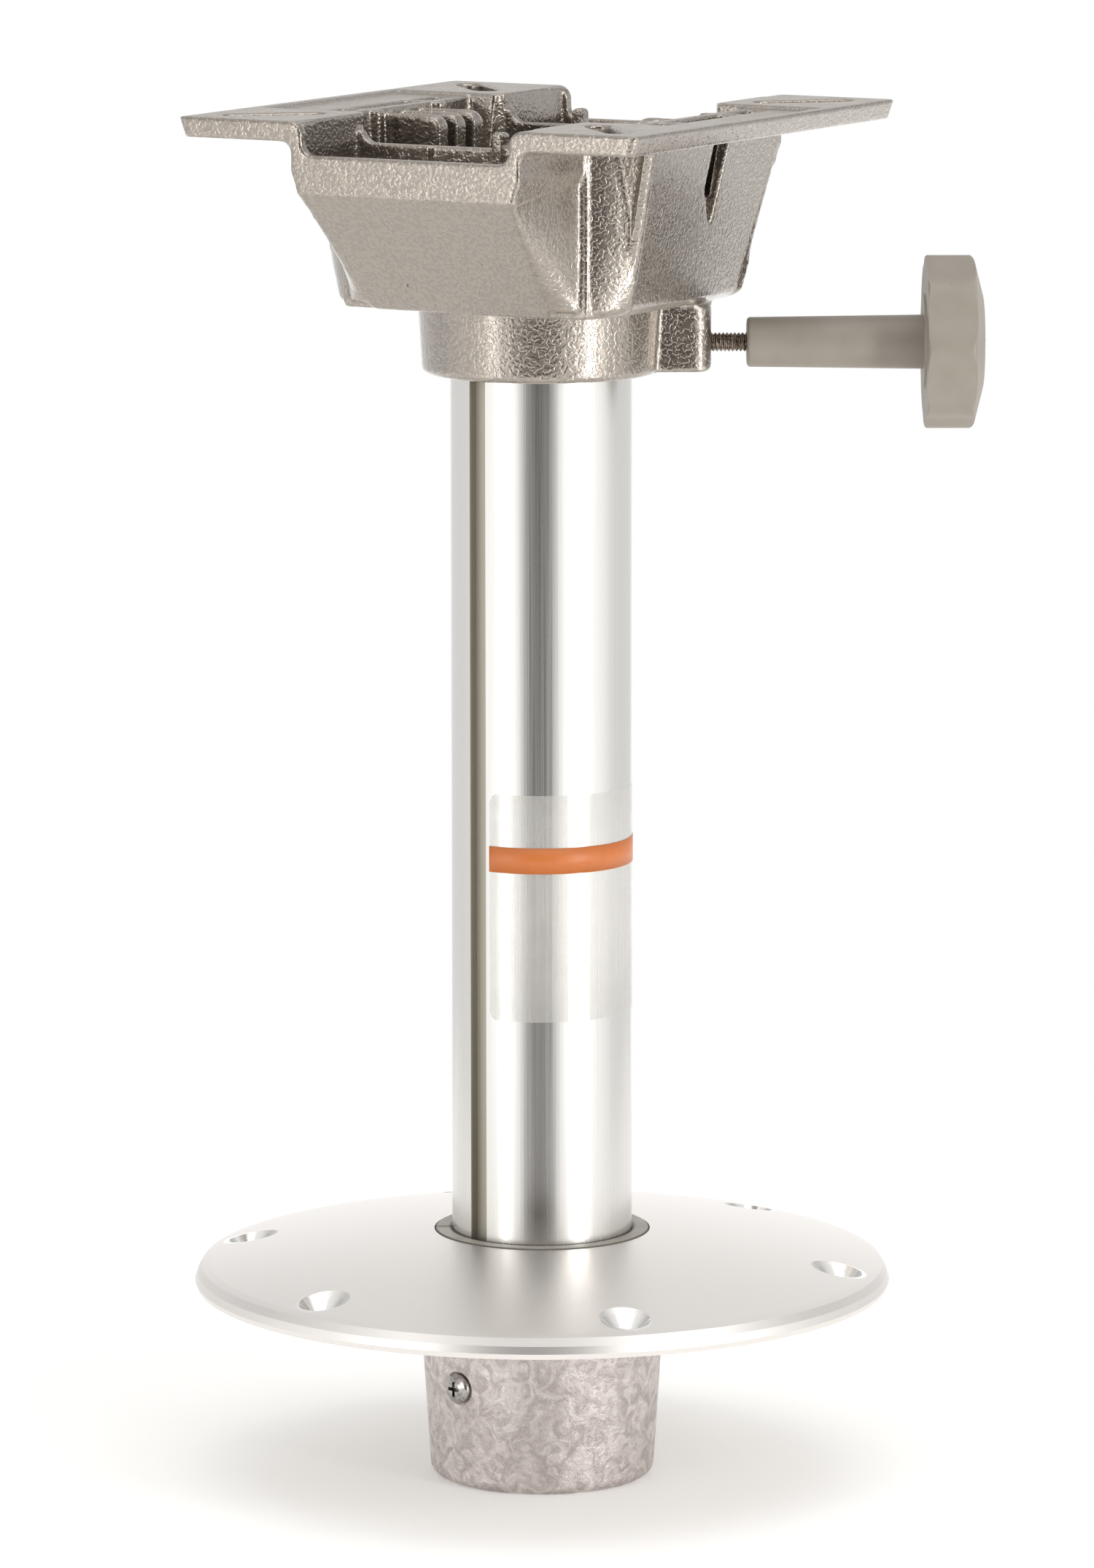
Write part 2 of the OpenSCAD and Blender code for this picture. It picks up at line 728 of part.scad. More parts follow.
module seat_mount() {
    color(champagne)
    difference() {
        union() {
            difference() {
                union() {
                    arm_body();
                    end_body();
                    core_body();
                    flange_body();
                }
                arm_space();
                core_space();
                saddle_cut();
                rail_pockets();
                wall_relief();
                for (s = [-1, 1])
                    block([min(s * (rail_in - 2), s * (top_w / 2 - 5)), -end_top_y + 1.5, seat_z - pad_step],
                          [max(s * (rail_in - 2), s * (top_w / 2 - 5)), end_top_y - 1.5, seat_z + eps]);
            }
            cross_wall();
            inner_ribs();
            hub_body();
        }
        translate([0, 0, collar_z0 - eps])
            cylinder(r = hub_bore_r, h = ceiling_z0 - collar_z0 + eps);
        translate([0, 0, ceiling_z0 - 1])
            cylinder(r = bolt_bore_r, h = ceiling_t + 2);
        rotate([0, 0, knob_a])
            translate([0, 0, knob_z])
                rotate([0, 90, 0]) {
                    cylinder(r = pad_seat_r, h = pad_r1 + 4);
                    cylinder(r = rod_bore_r, h = boss_end + 1);
                }
        for (sx = [-1, 1])
            for (sy = [-1, 1])
                translate([sx * slot_x, sy * slot_y, 0])
                    rotate([0, 0, sx * sy * 45])
                        slot(slot_l, slot_w, flange_z0 - 1, seat_z + 1);
    }
}

// lock knob

// Everything on the knob's axis is drawn along Z and laid down on its direction
module on_knob_axis() {
    rotate([0, 0, knob_a])
        translate([0, 0, knob_z])
            rotate([0, 90, 0])
                children();
}

module friction_pad() {
    color(nylon)
    on_knob_axis()
        rotate_extrude()
            polygon([[0, pad_r0], [pad_d / 2 - 0.8, pad_r0], [pad_d / 2, pad_r0 + 0.8],
                     [pad_d / 2, pad_r1], [0, pad_r1]]);
}

module threaded_rod() {
    color(steel)
    on_knob_axis()
        rotate_extrude()
            polygon([[0, pad_r1], [rod_d / 2 - 0.7, pad_r1], [rod_d / 2, pad_r1 + 0.7],
                     [rod_d / 2, rod_r1], [0, rod_r1]]);
}

// Outline of the lobed head
module lobed(d) {
    mean = d / 2 - lobe_depth / 2;
    polygon([for (i = [0:lobes * 14 - 1])
        let (a = i * 360 / (lobes * 14), r = mean + lobe_depth / 2 * cos(lobes * a)) r * [cos(a), sin(a)]]);
}

module lock_knob() {
    face = head_d / 2;
    face_z = head_r0 + head_t;
    color(moulded)
    on_knob_axis()
        difference() {
            union() {
                rotate_extrude()
                    polygon(rounded([[0, stem_r0], [stem_d / 2, stem_r0],
                                     [stem_root_d / 2, head_r0 + 1], [0, head_r0 + 1]], [0, 1.2, 0, 0]));
                translate([0, 0, head_r0 - 0.7])
                    cylinder(r1 = face * 0.55, r2 = face * 0.57, h = 1.2);
                intersection() {
                    translate([0, 0, head_r0])
                        linear_extrude(head_t + head_rise + 1)
                            lobed(head_d);
                    rotate_extrude()
                        polygon(concat([[0, head_r0]],
                                       rounded([[face - 2, head_r0], [face + 0.1, head_r0], [face + 0.1, face_z],
                                                [face * 0.52, face_z + head_rise * 0.9], [0, face_z + head_rise]],
                                               [0, 1.2, 2.5, 10, 0])));
                }
            }
            translate([0, 0, stem_r0 - eps])
                cylinder(r = rod_d / 2 + 0.05, h = rod_hold + eps + 0.1);
        }
}

deck_base();
socket_liner();
key_screw();
post_tube();
post_plug();
retaining_bolt();
bolt_washer();
seat_mount();
lower_sleeve();
upper_sleeve();
thrust_washer();
friction_pad();
threaded_rod();
lock_knob();
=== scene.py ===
# Boat seat pedestal dressed for the photograph: finishes for the metal parts, a cut thread,
# a rounded casting and the clear film on the post. Metres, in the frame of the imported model.
import json
import math

import bmesh
import bpy
from mathutils import Matrix, Vector


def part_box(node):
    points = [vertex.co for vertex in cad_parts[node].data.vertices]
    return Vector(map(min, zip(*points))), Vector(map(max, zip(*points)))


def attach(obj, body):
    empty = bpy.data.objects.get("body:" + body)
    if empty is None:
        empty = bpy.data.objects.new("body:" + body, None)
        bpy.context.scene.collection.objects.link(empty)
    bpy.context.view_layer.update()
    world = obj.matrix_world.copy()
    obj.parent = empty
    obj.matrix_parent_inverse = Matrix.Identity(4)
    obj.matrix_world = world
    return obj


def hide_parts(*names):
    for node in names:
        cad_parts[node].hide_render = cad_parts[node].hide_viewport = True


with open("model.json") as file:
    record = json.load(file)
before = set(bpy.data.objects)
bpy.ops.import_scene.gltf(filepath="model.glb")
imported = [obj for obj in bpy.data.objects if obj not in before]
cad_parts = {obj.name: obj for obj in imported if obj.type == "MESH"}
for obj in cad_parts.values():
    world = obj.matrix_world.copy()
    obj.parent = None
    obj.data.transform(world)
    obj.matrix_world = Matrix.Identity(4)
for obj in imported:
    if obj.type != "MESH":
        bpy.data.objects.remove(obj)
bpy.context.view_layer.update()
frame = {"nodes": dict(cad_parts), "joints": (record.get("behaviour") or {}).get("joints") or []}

nodes = frame["nodes"]
mm = 0.001

# the line that the lock's rod, knob and pad lie on, out from the post's axis
lockJoint = next(joint for joint in frame["joints"] if joint["name"] == "lock_turn")
lockOut = Vector(lockJoint["axis"])
lockCentre = Vector((0, 0, lockJoint["pos_m"][2]))


# small tools shared by every material and mesh

def toLinear(hexColour):
    # sRGB hex, as a colour picker shows it, to the linear values that the shaders want
    parts = [int(hexColour[i:i + 2], 16) / 255 for i in (1, 3, 5)]
    return [p / 12.92 if p <= 0.04045 else ((p + 0.055) / 1.055) ** 2.4 for p in parts] + [1.0]


def addNode(tree, kind, settings=None, links=None):
    # one node with its settings, its fixed inputs and what is plugged into it
    made = tree.nodes.new(kind)
    for name, value in (settings or {}).items():
        if name == "stops":
            ramp = made.color_ramp
            while len(ramp.elements) < len(value):
                ramp.elements.new(0.5)
            for element, (place, colour) in zip(ramp.elements, value):
                element.position = place
                element.color = colour
        else:
            setattr(made, name, value)
    for name, value in (links or {}).items():
        if isinstance(value, bpy.types.NodeSocket):
            tree.links.new(value, made.inputs[name])
        else:
            made.inputs[name].default_value = value
    return made


def startMaterial(name, **sockets):
    # a Principled shader with its plain values, and the object's own coordinates in millimetres
    material = bpy.data.materials.new(name)
    material.use_nodes = True
    tree = material.node_tree
    shader = tree.nodes["Principled BSDF"]
    for socket, value in sockets.items():
        shader.inputs[socket.replace("_", " ")].default_value = value
    place = addNode(tree, "ShaderNodeTexCoord").outputs["Object"]
    inMillimetres = addNode(tree, "ShaderNodeVectorMath", {"operation": "SCALE"}, {0: place, "Scale": 1000.0})
    return material, tree, shader, inMillimetres.outputs[0]


def fromPostAxis(tree, place):
    # how far a point lies from the post's axis, in millimetres
    parts = addNode(tree, "ShaderNodeSeparateXYZ", {}, {0: place})
    flat = addNode(tree, "ShaderNodeCombineXYZ", {}, {0: parts.outputs[0], 1: parts.outputs[1]})
    distance = addNode(tree, "ShaderNodeVectorMath", {"operation": "LENGTH"}, {0: flat.outputs[0]})
    return distance.outputs["Value"]


def grey(value):
    return (value, value, value, 1.0)


def giveMaterial(thing, material):
    thing.data.materials.clear()
    thing.data.materials.append(material)


def addObject(name, mesh, material, body):
    thing = bpy.data.objects.new(name, mesh)
    bpy.context.scene.collection.objects.link(thing)
    giveMaterial(thing, material)
    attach(thing, body)
    return thing


def between(low, high, share):
    return low + (high - low) * share


def smoothStep(low, high, value):
    # 0 at low, 1 at high and level at both, also where high is the smaller of the two
    t = max(0.0, min(1.0, (value - low) / (high - low)))
    return t * t * (3 - 2 * t)


# champagne powder coat with a hammered skin, on the die-cast seat mount

castingCoat = {
    "base": "#998F84",
    "pit": "#8D857B",
    "speck": "#4E463D",
    "wormMm": 1.25,             # width of one worm of the skin, drawn a little coarser so that it shows
    "wormEdge": (0.4, 0.6),     # a worm rises between these values of its noise
    "fineMm": 0.5,
    "fineShare": 0.5,
    "flowMm": 9.0,              # slow changes of sheen across a face
    "speckMm": 2.6,
    "speckFrom": (0.735, 0.76),
    "metallic": 0.9,
    "roughness": 0.26,
    "roughnessSpread": (-0.03, 0.04),
    "clearIor": 1.6,
    "clearRoughness": 0.13,
    "topFacing": (0.8, 0.95),   # how far upwards the faces look that carry the seat
    "dullTopWeight": 0.15,      # the clear skin is rubbed dull on them
    "dullTopRoughness": 0.2,
    "heightMm": 0.072,
}


def hammeredPowderCoat(values):
    # metallic powder baked over a casting, dull flakes under a clear skin that draws up in short
    # worms: each light breaks into sparks, while a face that mirrors the floor looks smooth
    material, tree, shader, place = startMaterial(
        "hammeredPowderCoat", Metallic=values["metallic"], Coat_Weight=1.0,
        Coat_IOR=values["clearIor"], Coat_Roughness=values["clearRoughness"])
    worms = addNode(tree, "ShaderNodeTexNoise", {},
                    {"Vector": place, "Scale": 1 / values["wormMm"], "Detail": 0.4, "Distortion": 0.45})
    low, high = values["wormEdge"]
    raised = addNode(tree, "ShaderNodeMapRange", {"interpolation_type": "SMOOTHSTEP"},
                     {"Value": worms.outputs["Fac"], "From Min": low, "From Max": high})
    fine = addNode(tree, "ShaderNodeTexNoise", {},
                   {"Vector": place, "Scale": 1 / values["fineMm"], "Detail": 1.5})
    height = addNode(tree, "ShaderNodeMath", {"operation": "MULTIPLY_ADD"},
                     {0: fine.outputs["Fac"], 1: values["fineShare"], 2: raised.outputs[0]})
    bump = addNode(tree, "ShaderNodeBump", {},
                   {"Height": height.outputs[0], "Strength": 1.0, "Distance": values["heightMm"] * mm})
    tree.links.new(bump.outputs[0], shader.inputs["Normal"])
    tree.links.new(bump.outputs[0], shader.inputs["Coat Normal"])
    # colour, with a few specks of workshop dirt
    colour = addNode(tree, "ShaderNodeMix", {"data_type": "RGBA"},
                     {0: raised.outputs[0], 6: toLinear(values["pit"]), 7: toLinear(values["base"])})
    speck = addNode(tree, "ShaderNodeTexNoise", {},
                    {"Vector": place, "Scale": 1 / values["speckMm"], "Detail": 4.0})
    low, high = values["speckFrom"]
    dirt = addNode(tree, "ShaderNodeMapRange", {},
                   {"Value": speck.outputs["Fac"], "From Min": low, "From Max": high})
    dusty = addNode(tree, "ShaderNodeMix", {"data_type": "RGBA"},
                    {0: dirt.outputs[0], 6: colour.outputs[2], 7: toLinear(values["speck"])})
    tree.links.new(dusty.outputs[2], shader.inputs["Base Color"])
    # sheen, duller on the faces that look up
    normal = addNode(tree, "ShaderNodeNewGeometry").outputs["Normal"]
    facing = addNode(tree, "ShaderNodeSeparateXYZ", {}, {0: normal})
    low, high = values["topFacing"]
    onTop = addNode(tree, "ShaderNodeMapRange", {},
                    {"Value": facing.outputs[2], "From Min": low, "From Max": high})
    clear = addNode(tree, "ShaderNodeMix", {"data_type": "FLOAT"},
                    {0: onTop.outputs[0], 2: 1.0, 3: values["dullTopWeight"]})
    tree.links.new(clear.outputs[0], shader.inputs["Coat Weight"])
    flow = addNode(tree, "ShaderNodeTexNoise", {},
                   {"Vector": place, "Scale": 1 / values["flowMm"], "Detail": 3.0})
    low, high = [values["roughness"] + spread for spread in values["roughnessSpread"]]
    rough = addNode(tree, "ShaderNodeMapRange", {},
                    {"Value": flow.outputs["Fac"], "From Min": 0.3, "From Max": 0.7,
                     "To Min": low, "To Max": high})
    duller = addNode(tree, "ShaderNodeMath", {"operation": "MULTIPLY_ADD"},
                     {0: onTop.outputs[0], 1: values["dullTopRoughness"], 2: rough.outputs[0]})
    tree.links.new(duller.outputs[0], shader.inputs["Roughness"])
    return material


# clear anodised aluminium of the extruded post

postFinish = {
    "base": "#DEDCD8",
    # painted shade: the groove's floor is given a darker colour for the shade in the recess
    "groovePaintedShade": "#B9B4A7",
    "grooveRoughness": 0.55,
    "grooveFromMm": (29.1, 29.7),   # below this radius the wall counts as the groove's
    "streakMm": 0.55,               # spacing of the die lines round the post
    "streakLengthMm": 160.0,
    "roughness": 0.24,
    "roughnessSpread": (-0.03, 0.05),
    "heightMm": 0.012,
}


def anodisedExtrusion(values):
    # aluminium pushed through a die, etched and clear anodised: satin, with faint lines
    # that run the whole length and smear reflections sideways
    material, tree, shader, place = startMaterial("anodisedExtrusion", Metallic=1.0)
    stretch = addNode(tree, "ShaderNodeVectorMath", {"operation": "MULTIPLY"},
                      {0: place, 1: (1.0, 1.0, values["streakMm"] / values["streakLengthMm"])})
    lines = addNode(tree, "ShaderNodeTexNoise", {},
                    {"Vector": stretch.outputs[0], "Scale": 1 / values["streakMm"],
                     "Detail": 3.0, "Roughness": 0.6})
    low, high = values["grooveFromMm"]
    inGroove = addNode(tree, "ShaderNodeMapRange", {},
                       {"Value": fromPostAxis(tree, place), "From Min": low, "From Max": high,
                        "To Min": 1.0, "To Max": 0.0})
    # painted shade: inside the groove the colour turns darker, standing in for the recess's shade
    colour = addNode(tree, "ShaderNodeMix", {"data_type": "RGBA"},
                     {0: inGroove.outputs[0], 6: toLinear(values["base"]), 7: toLinear(values["groovePaintedShade"])})
    tree.links.new(colour.outputs[2], shader.inputs["Base Color"])
    low, high = [values["roughness"] + spread for spread in values["roughnessSpread"]]
    rough = addNode(tree, "ShaderNodeMapRange", {},
                    {"Value": lines.outputs["Fac"], "From Min": 0.3, "From Max": 0.7,
                     "To Min": low, "To Max": high})
    dull = addNode(tree, "ShaderNodeMix", {"data_type": "FLOAT"},
                   {0: inGroove.outputs[0], 2: rough.outputs[0], 3: values["grooveRoughness"]})
    tree.links.new(dull.outputs[0], shader.inputs["Roughness"])
    bump = addNode(tree, "ShaderNodeBump", {},
                   {"Height": lines.outputs["Fac"], "Strength": 1.0, "Distance": values["heightMm"] * mm})
    tree.links.new(bump.outputs[0], shader.inputs["Normal"])
    return material


# deck base: satin plate, bright machined countersinks and a raw cup

baseFinish = {
    "plate": "#E9E5E1",
    "machined": "#EFEDEA",
    "rawCast": "#E4DDD9",
    "rawShade": "#B9B0AD",
    "seam": "#6F6765",          # dark lines where the metal met while it filled the mould
    "seamShare": 0.6,
    "seamCells": 7.0,
    "seamWidth": 0.035,
    "plateRoughness": 0.4,
    "machinedRoughness": 0.2,
    "rawRoughness": 0.48,
    "blastMm": 0.35,            # grit of the blasted plate, drawn as coarse as it needs to show
    "blastHeightMm": 0.012,
    "flowMm": 6.0,              # flow marks left by the metal on the raw cup
    "flowEdge": (0.38, 0.66),
    "flowHeight": 1.6,          # relief of the flow marks beside that of the raw skin
    "skinMm": 10 / 9,
    "rawHeightMm": 0.22,
    "cupTopMm": -0.5,
    "sinkCircleMm": 102.5,
    "sinkEdgeMm": (8.25, 8.45),
    "sinkCount": 6,
    "sinkStart": -105.0,
}


def satinPlateAndRawCup(values):
    # one casting with three surfaces: the plate is blasted and anodised, the countersinks are
    # cut after that and shine, and the cup below the deck is left as it came from the mould
    material, tree, shader, place = startMaterial("satinPlateAndRawCup", Metallic=1.0)
    parts = addNode(tree, "ShaderNodeSeparateXYZ", {}, {0: place})
    flat = addNode(tree, "ShaderNodeCombineXYZ", {}, {0: parts.outputs[0], 1: parts.outputs[1]})
    below = addNode(tree, "ShaderNodeMath", {"operation": "LESS_THAN"},
                    {0: parts.outputs[2], 1: values["cupTopMm"]})
    # distance from the nearest screw hole
    nearest = None
    for k in range(values["sinkCount"]):
        turn = math.radians(values["sinkStart"] + 360 / values["sinkCount"] * k)
        spot = (values["sinkCircleMm"] * math.cos(turn), values["sinkCircleMm"] * math.sin(turn), 0.0)
        gap = addNode(tree, "ShaderNodeVectorMath", {"operation": "DISTANCE"},
                      {0: flat.outputs[0], 1: spot}).outputs["Value"]
        if nearest is None:
            nearest = gap
        else:
            nearest = addNode(tree, "ShaderNodeMath", {"operation": "MINIMUM"},
                              {0: nearest, 1: gap}).outputs[0]
    low, high = values["sinkEdgeMm"]
    inSink = addNode(tree, "ShaderNodeMapRange", {},
                     {"Value": nearest, "From Min": low, "From Max": high, "To Min": 1.0, "To Max": 0.0})
    # the raw cup's flow marks and the seams between them
    flow = addNode(tree, "ShaderNodeTexNoise", {},
                   {"Vector": place, "Scale": 1 / values["flowMm"], "Detail": 6.0,
                    "Roughness": 0.62, "Distortion": 1.4})
    lines = addNode(tree, "ShaderNodeTexVoronoi", {"feature": "DISTANCE_TO_EDGE"},
                    {"Vector": flow.outputs["Color"], "Scale": values["seamCells"]})
    seams = addNode(tree, "ShaderNodeMapRange", {},
                    {"Value": lines.outputs["Distance"], "From Min": 0.0, "From Max": values["seamWidth"],
                     "To Min": 1.0, "To Max": 0.0})
    low, high = values["flowEdge"]
    patches = addNode(tree, "ShaderNodeMapRange", {},
                      {"Value": flow.outputs["Fac"], "From Min": low, "From Max": high})
    raw = addNode(tree, "ShaderNodeMix", {"data_type": "RGBA"},
                  {0: patches.outputs[0], 6: toLinear(values["rawShade"]), 7: toLinear(values["rawCast"])})
    marks = addNode(tree, "ShaderNodeMath", {"operation": "MULTIPLY"},
                    {0: seams.outputs[0], 1: values["seamShare"]})
    seamed = addNode(tree, "ShaderNodeMix", {"data_type": "RGBA"},
                     {0: marks.outputs[0], 6: raw.outputs[2], 7: toLinear(values["seam"])})
    top = addNode(tree, "ShaderNodeMix", {"data_type": "RGBA"},
                  {0: inSink.outputs[0], 6: toLinear(values["plate"]), 7: toLinear(values["machined"])})
    colour = addNode(tree, "ShaderNodeMix", {"data_type": "RGBA"},
                     {0: below.outputs[0], 6: top.outputs[2], 7: seamed.outputs[2]})
    tree.links.new(colour.outputs[2], shader.inputs["Base Color"])
    topRough = addNode(tree, "ShaderNodeMix", {"data_type": "FLOAT"},
                       {0: inSink.outputs[0], 2: values["plateRoughness"], 3: values["machinedRoughness"]})
    rough = addNode(tree, "ShaderNodeMix", {"data_type": "FLOAT"},
                    {0: below.outputs[0], 2: topRough.outputs[0], 3: values["rawRoughness"]})
    tree.links.new(rough.outputs[0], shader.inputs["Roughness"])
    blast = addNode(tree, "ShaderNodeTexNoise", {},
                    {"Vector": place, "Scale": 1 / values["blastMm"], "Detail": 2.0})
    skin = addNode(tree, "ShaderNodeTexNoise", {},
                   {"Vector": place, "Scale": 1 / values["skinMm"], "Detail": 3.0, "Distortion": 0.8})
    rawHeight = addNode(tree, "ShaderNodeMath", {"operation": "MULTIPLY_ADD"},
                        {0: flow.outputs["Fac"], 1: values["flowHeight"], 2: skin.outputs["Fac"]})
    height = addNode(tree, "ShaderNodeMix", {"data_type": "FLOAT"},
                     {0: below.outputs[0], 2: blast.outputs["Fac"], 3: rawHeight.outputs[0]})
    depth = addNode(tree, "ShaderNodeMix", {"data_type": "FLOAT"},
                    {0: below.outputs[0], 2: values["blastHeightMm"] * mm, 3: values["rawHeightMm"] * mm})
    bump = addNode(tree, "ShaderNodeBump", {},
                   {"Height": height.outputs[0], "Strength": 1.0, "Distance": depth.outputs[0]})
    tree.links.new(bump.outputs[0], shader.inputs["Normal"])
    return material


# plastics and small metal parts

plainFinishes = {
    # the liner stands a hair off the post and the plate; its edges next to them are painted dark, painted
    # shade for those gaps
    "liner": {"tone": "#A9A399", "shade": "#8E887E", "cloudMm": 12.5,
              "roughness": 0.46, "roughnessSpread": (-0.06, 0.08), "grainMm": 0.8, "heightMm": 0.02,
              "gapPaintedShade": "#5A534B", "gapInsideMm": (30.9, 31.3), "gapOutsideMm": (0.55, 0.35)},
    "knob": {"tone": "#8F877C", "shade": "#898176", "cloudMm": 12.5,
             "roughness": 0.5, "roughnessSpread": (-0.06, 0.08), "grainMm": 0.5, "heightMm": 0.025,
             "scuffTone": "#5E564C", "scuffMm": 4.5, "scuffFrom": (0.715, 0.76)},
    "steel": {"tone": "#B9B6B2", "shade": "#8F8B86",
              "roughness": 0.2, "roughnessSpread": (-0.05, 0.1), "grainMm": 1.2, "heightMm": 0.01},
    "darkRod": {"tone": "#A89C92", "shade": "#55493F",
                "roughness": 0.3, "roughnessSpread": (-0.05, 0.1), "grainMm": 1.0, "heightMm": 0.02},
}


def mouldedPlastic(name, values):
    # nylon filled and injection moulded: an even matt skin, a little spark-eroded grain
    material, tree, shader, place = startMaterial(name, Metallic=0.0, IOR=1.53)
    grain = addNode(tree, "ShaderNodeTexNoise", {},
                    {"Vector": place, "Scale": 1 / values["grainMm"], "Detail": 3.0})
    cloud = addNode(tree, "ShaderNodeTexNoise", {},
                    {"Vector": place, "Scale": 1 / values["cloudMm"], "Detail": 4.0})
    tone = addNode(tree, "ShaderNodeMapRange", {},
                   {"Value": cloud.outputs["Fac"], "From Min": 0.35, "From Max": 0.65})
    colour = addNode(tree, "ShaderNodeMix", {"data_type": "RGBA"},
                     {0: tone.outputs[0], 6: toLinear(values["shade"]), 7: toLinear(values["tone"])})
    shown = colour.outputs[2]
    if "scuffTone" in values:
        rubbed = addNode(tree, "ShaderNodeTexNoise", {},
                         {"Vector": place, "Scale": 1 / values["scuffMm"], "Detail": 5.0})
        low, high = values["scuffFrom"]
        scuffs = addNode(tree, "ShaderNodeMapRange", {},
                         {"Value": rubbed.outputs["Fac"], "From Min": low, "From Max": high})
        shown = addNode(tree, "ShaderNodeMix", {"data_type": "RGBA"},
                        {0: scuffs.outputs[0], 6: shown, 7: toLinear(values["scuffTone"])}).outputs[2]
    # painted shade: the liner's edges by the post and the plate are darkened for the shade in the gaps
    if "gapPaintedShade" in values:
        radius = fromPostAxis(tree, place)
        low, high = values["gapInsideMm"]
        within = addNode(tree, "ShaderNodeMapRange", {}, {"Value": radius, "From Min": low, "From Max": high})
        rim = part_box("socket_liner")[1].x / mm
        low, high = [rim - gap for gap in values["gapOutsideMm"]]
        beyond = addNode(tree, "ShaderNodeMapRange", {},
                         {"Value": radius, "From Min": low, "From Max": high, "To Min": 1.0, "To Max": 0.0})
        clearOfGapShade = addNode(tree, "ShaderNodeMath", {"operation": "MULTIPLY"},
                       {0: within.outputs[0], 1: beyond.outputs[0]})
        shown = addNode(tree, "ShaderNodeMix", {"data_type": "RGBA"},
                        {0: clearOfGapShade.outputs[0], 6: toLinear(values["gapPaintedShade"]), 7: shown}).outputs[2]
    tree.links.new(shown, shader.inputs["Base Color"])
    low, high = [values["roughness"] + spread for spread in values["roughnessSpread"]]
    rough = addNode(tree, "ShaderNodeMapRange", {},
                    {"Value": grain.outputs["Fac"], "To Min": low, "To Max": high})
    tree.links.new(rough.outputs[0], shader.inputs["Roughness"])
    bump = addNode(tree, "ShaderNodeBump", {},
                   {"Height": grain.outputs["Fac"], "Distance": values["heightMm"] * mm})
    tree.links.new(bump.outputs[0], shader.inputs["Normal"])
    return material


def turnedSteel(name, values):
    # stainless bar turned and rolled: bright, with oil-dark hollows
    material, tree, shader, place = startMaterial(name, Metallic=1.0)
    grain = addNode(tree, "ShaderNodeTexNoise", {},
                    {"Vector": place, "Scale": 1 / values["grainMm"], "Detail": 4.0})
    tone = addNode(tree, "ShaderNodeMapRange", {},
                   {"Value": grain.outputs["Fac"], "From Min": 0.35, "From Max": 0.62})
    colour = addNode(tree, "ShaderNodeMix", {"data_type": "RGBA"},
                     {0: tone.outputs[0], 6: toLinear(values["shade"]), 7: toLinear(values["tone"])})
    tree.links.new(colour.outputs[2], shader.inputs["Base Color"])
    low, high = [values["roughness"] + spread for spread in values["roughnessSpread"]]
    rough = addNode(tree, "ShaderNodeMapRange", {},
                    {"Value": grain.outputs["Fac"], "To Min": low, "To Max": high})
    tree.links.new(rough.outputs[0], shader.inputs["Roughness"])
    bump = addNode(tree, "ShaderNodeBump", {},
                   {"Height": grain.outputs["Fac"], "Distance": values["heightMm"] * mm})
    tree.links.new(bump.outputs[0], shader.inputs["Normal"])
    return material


hammered = hammeredPowderCoat(castingCoat)
anodised = anodisedExtrusion(postFinish)
baseMetal = satinPlateAndRawCup(baseFinish)
linerPlastic = mouldedPlastic("mouldedNylon", plainFinishes["liner"])
knobPlastic = mouldedPlastic("mouldedKnobPlastic", plainFinishes["knob"])
steel = turnedSteel("turnedStainless", plainFinishes["steel"])
darkSteel = turnedSteel("rolledDarkSteel", plainFinishes["darkRod"])
for name, material in {
    "deck_base": baseMetal, "socket_liner": linerPlastic, "key_screw": steel, "post_tube": anodised,
    "post_plug": anodised, "retaining_bolt": steel, "bolt_washer": steel, "seat_mount": hammered,
    "lower_sleeve": linerPlastic, "upper_sleeve": linerPlastic, "thrust_washer": linerPlastic,
    "friction_pad": linerPlastic, "threaded_rod": darkSteel, "lock_knob": knobPlastic,
}.items():
    giveMaterial(nodes[name], material)
print("finishes are on the CAD pieces")


# the casting's edges are rounded as a mould and a coat of powder leave them

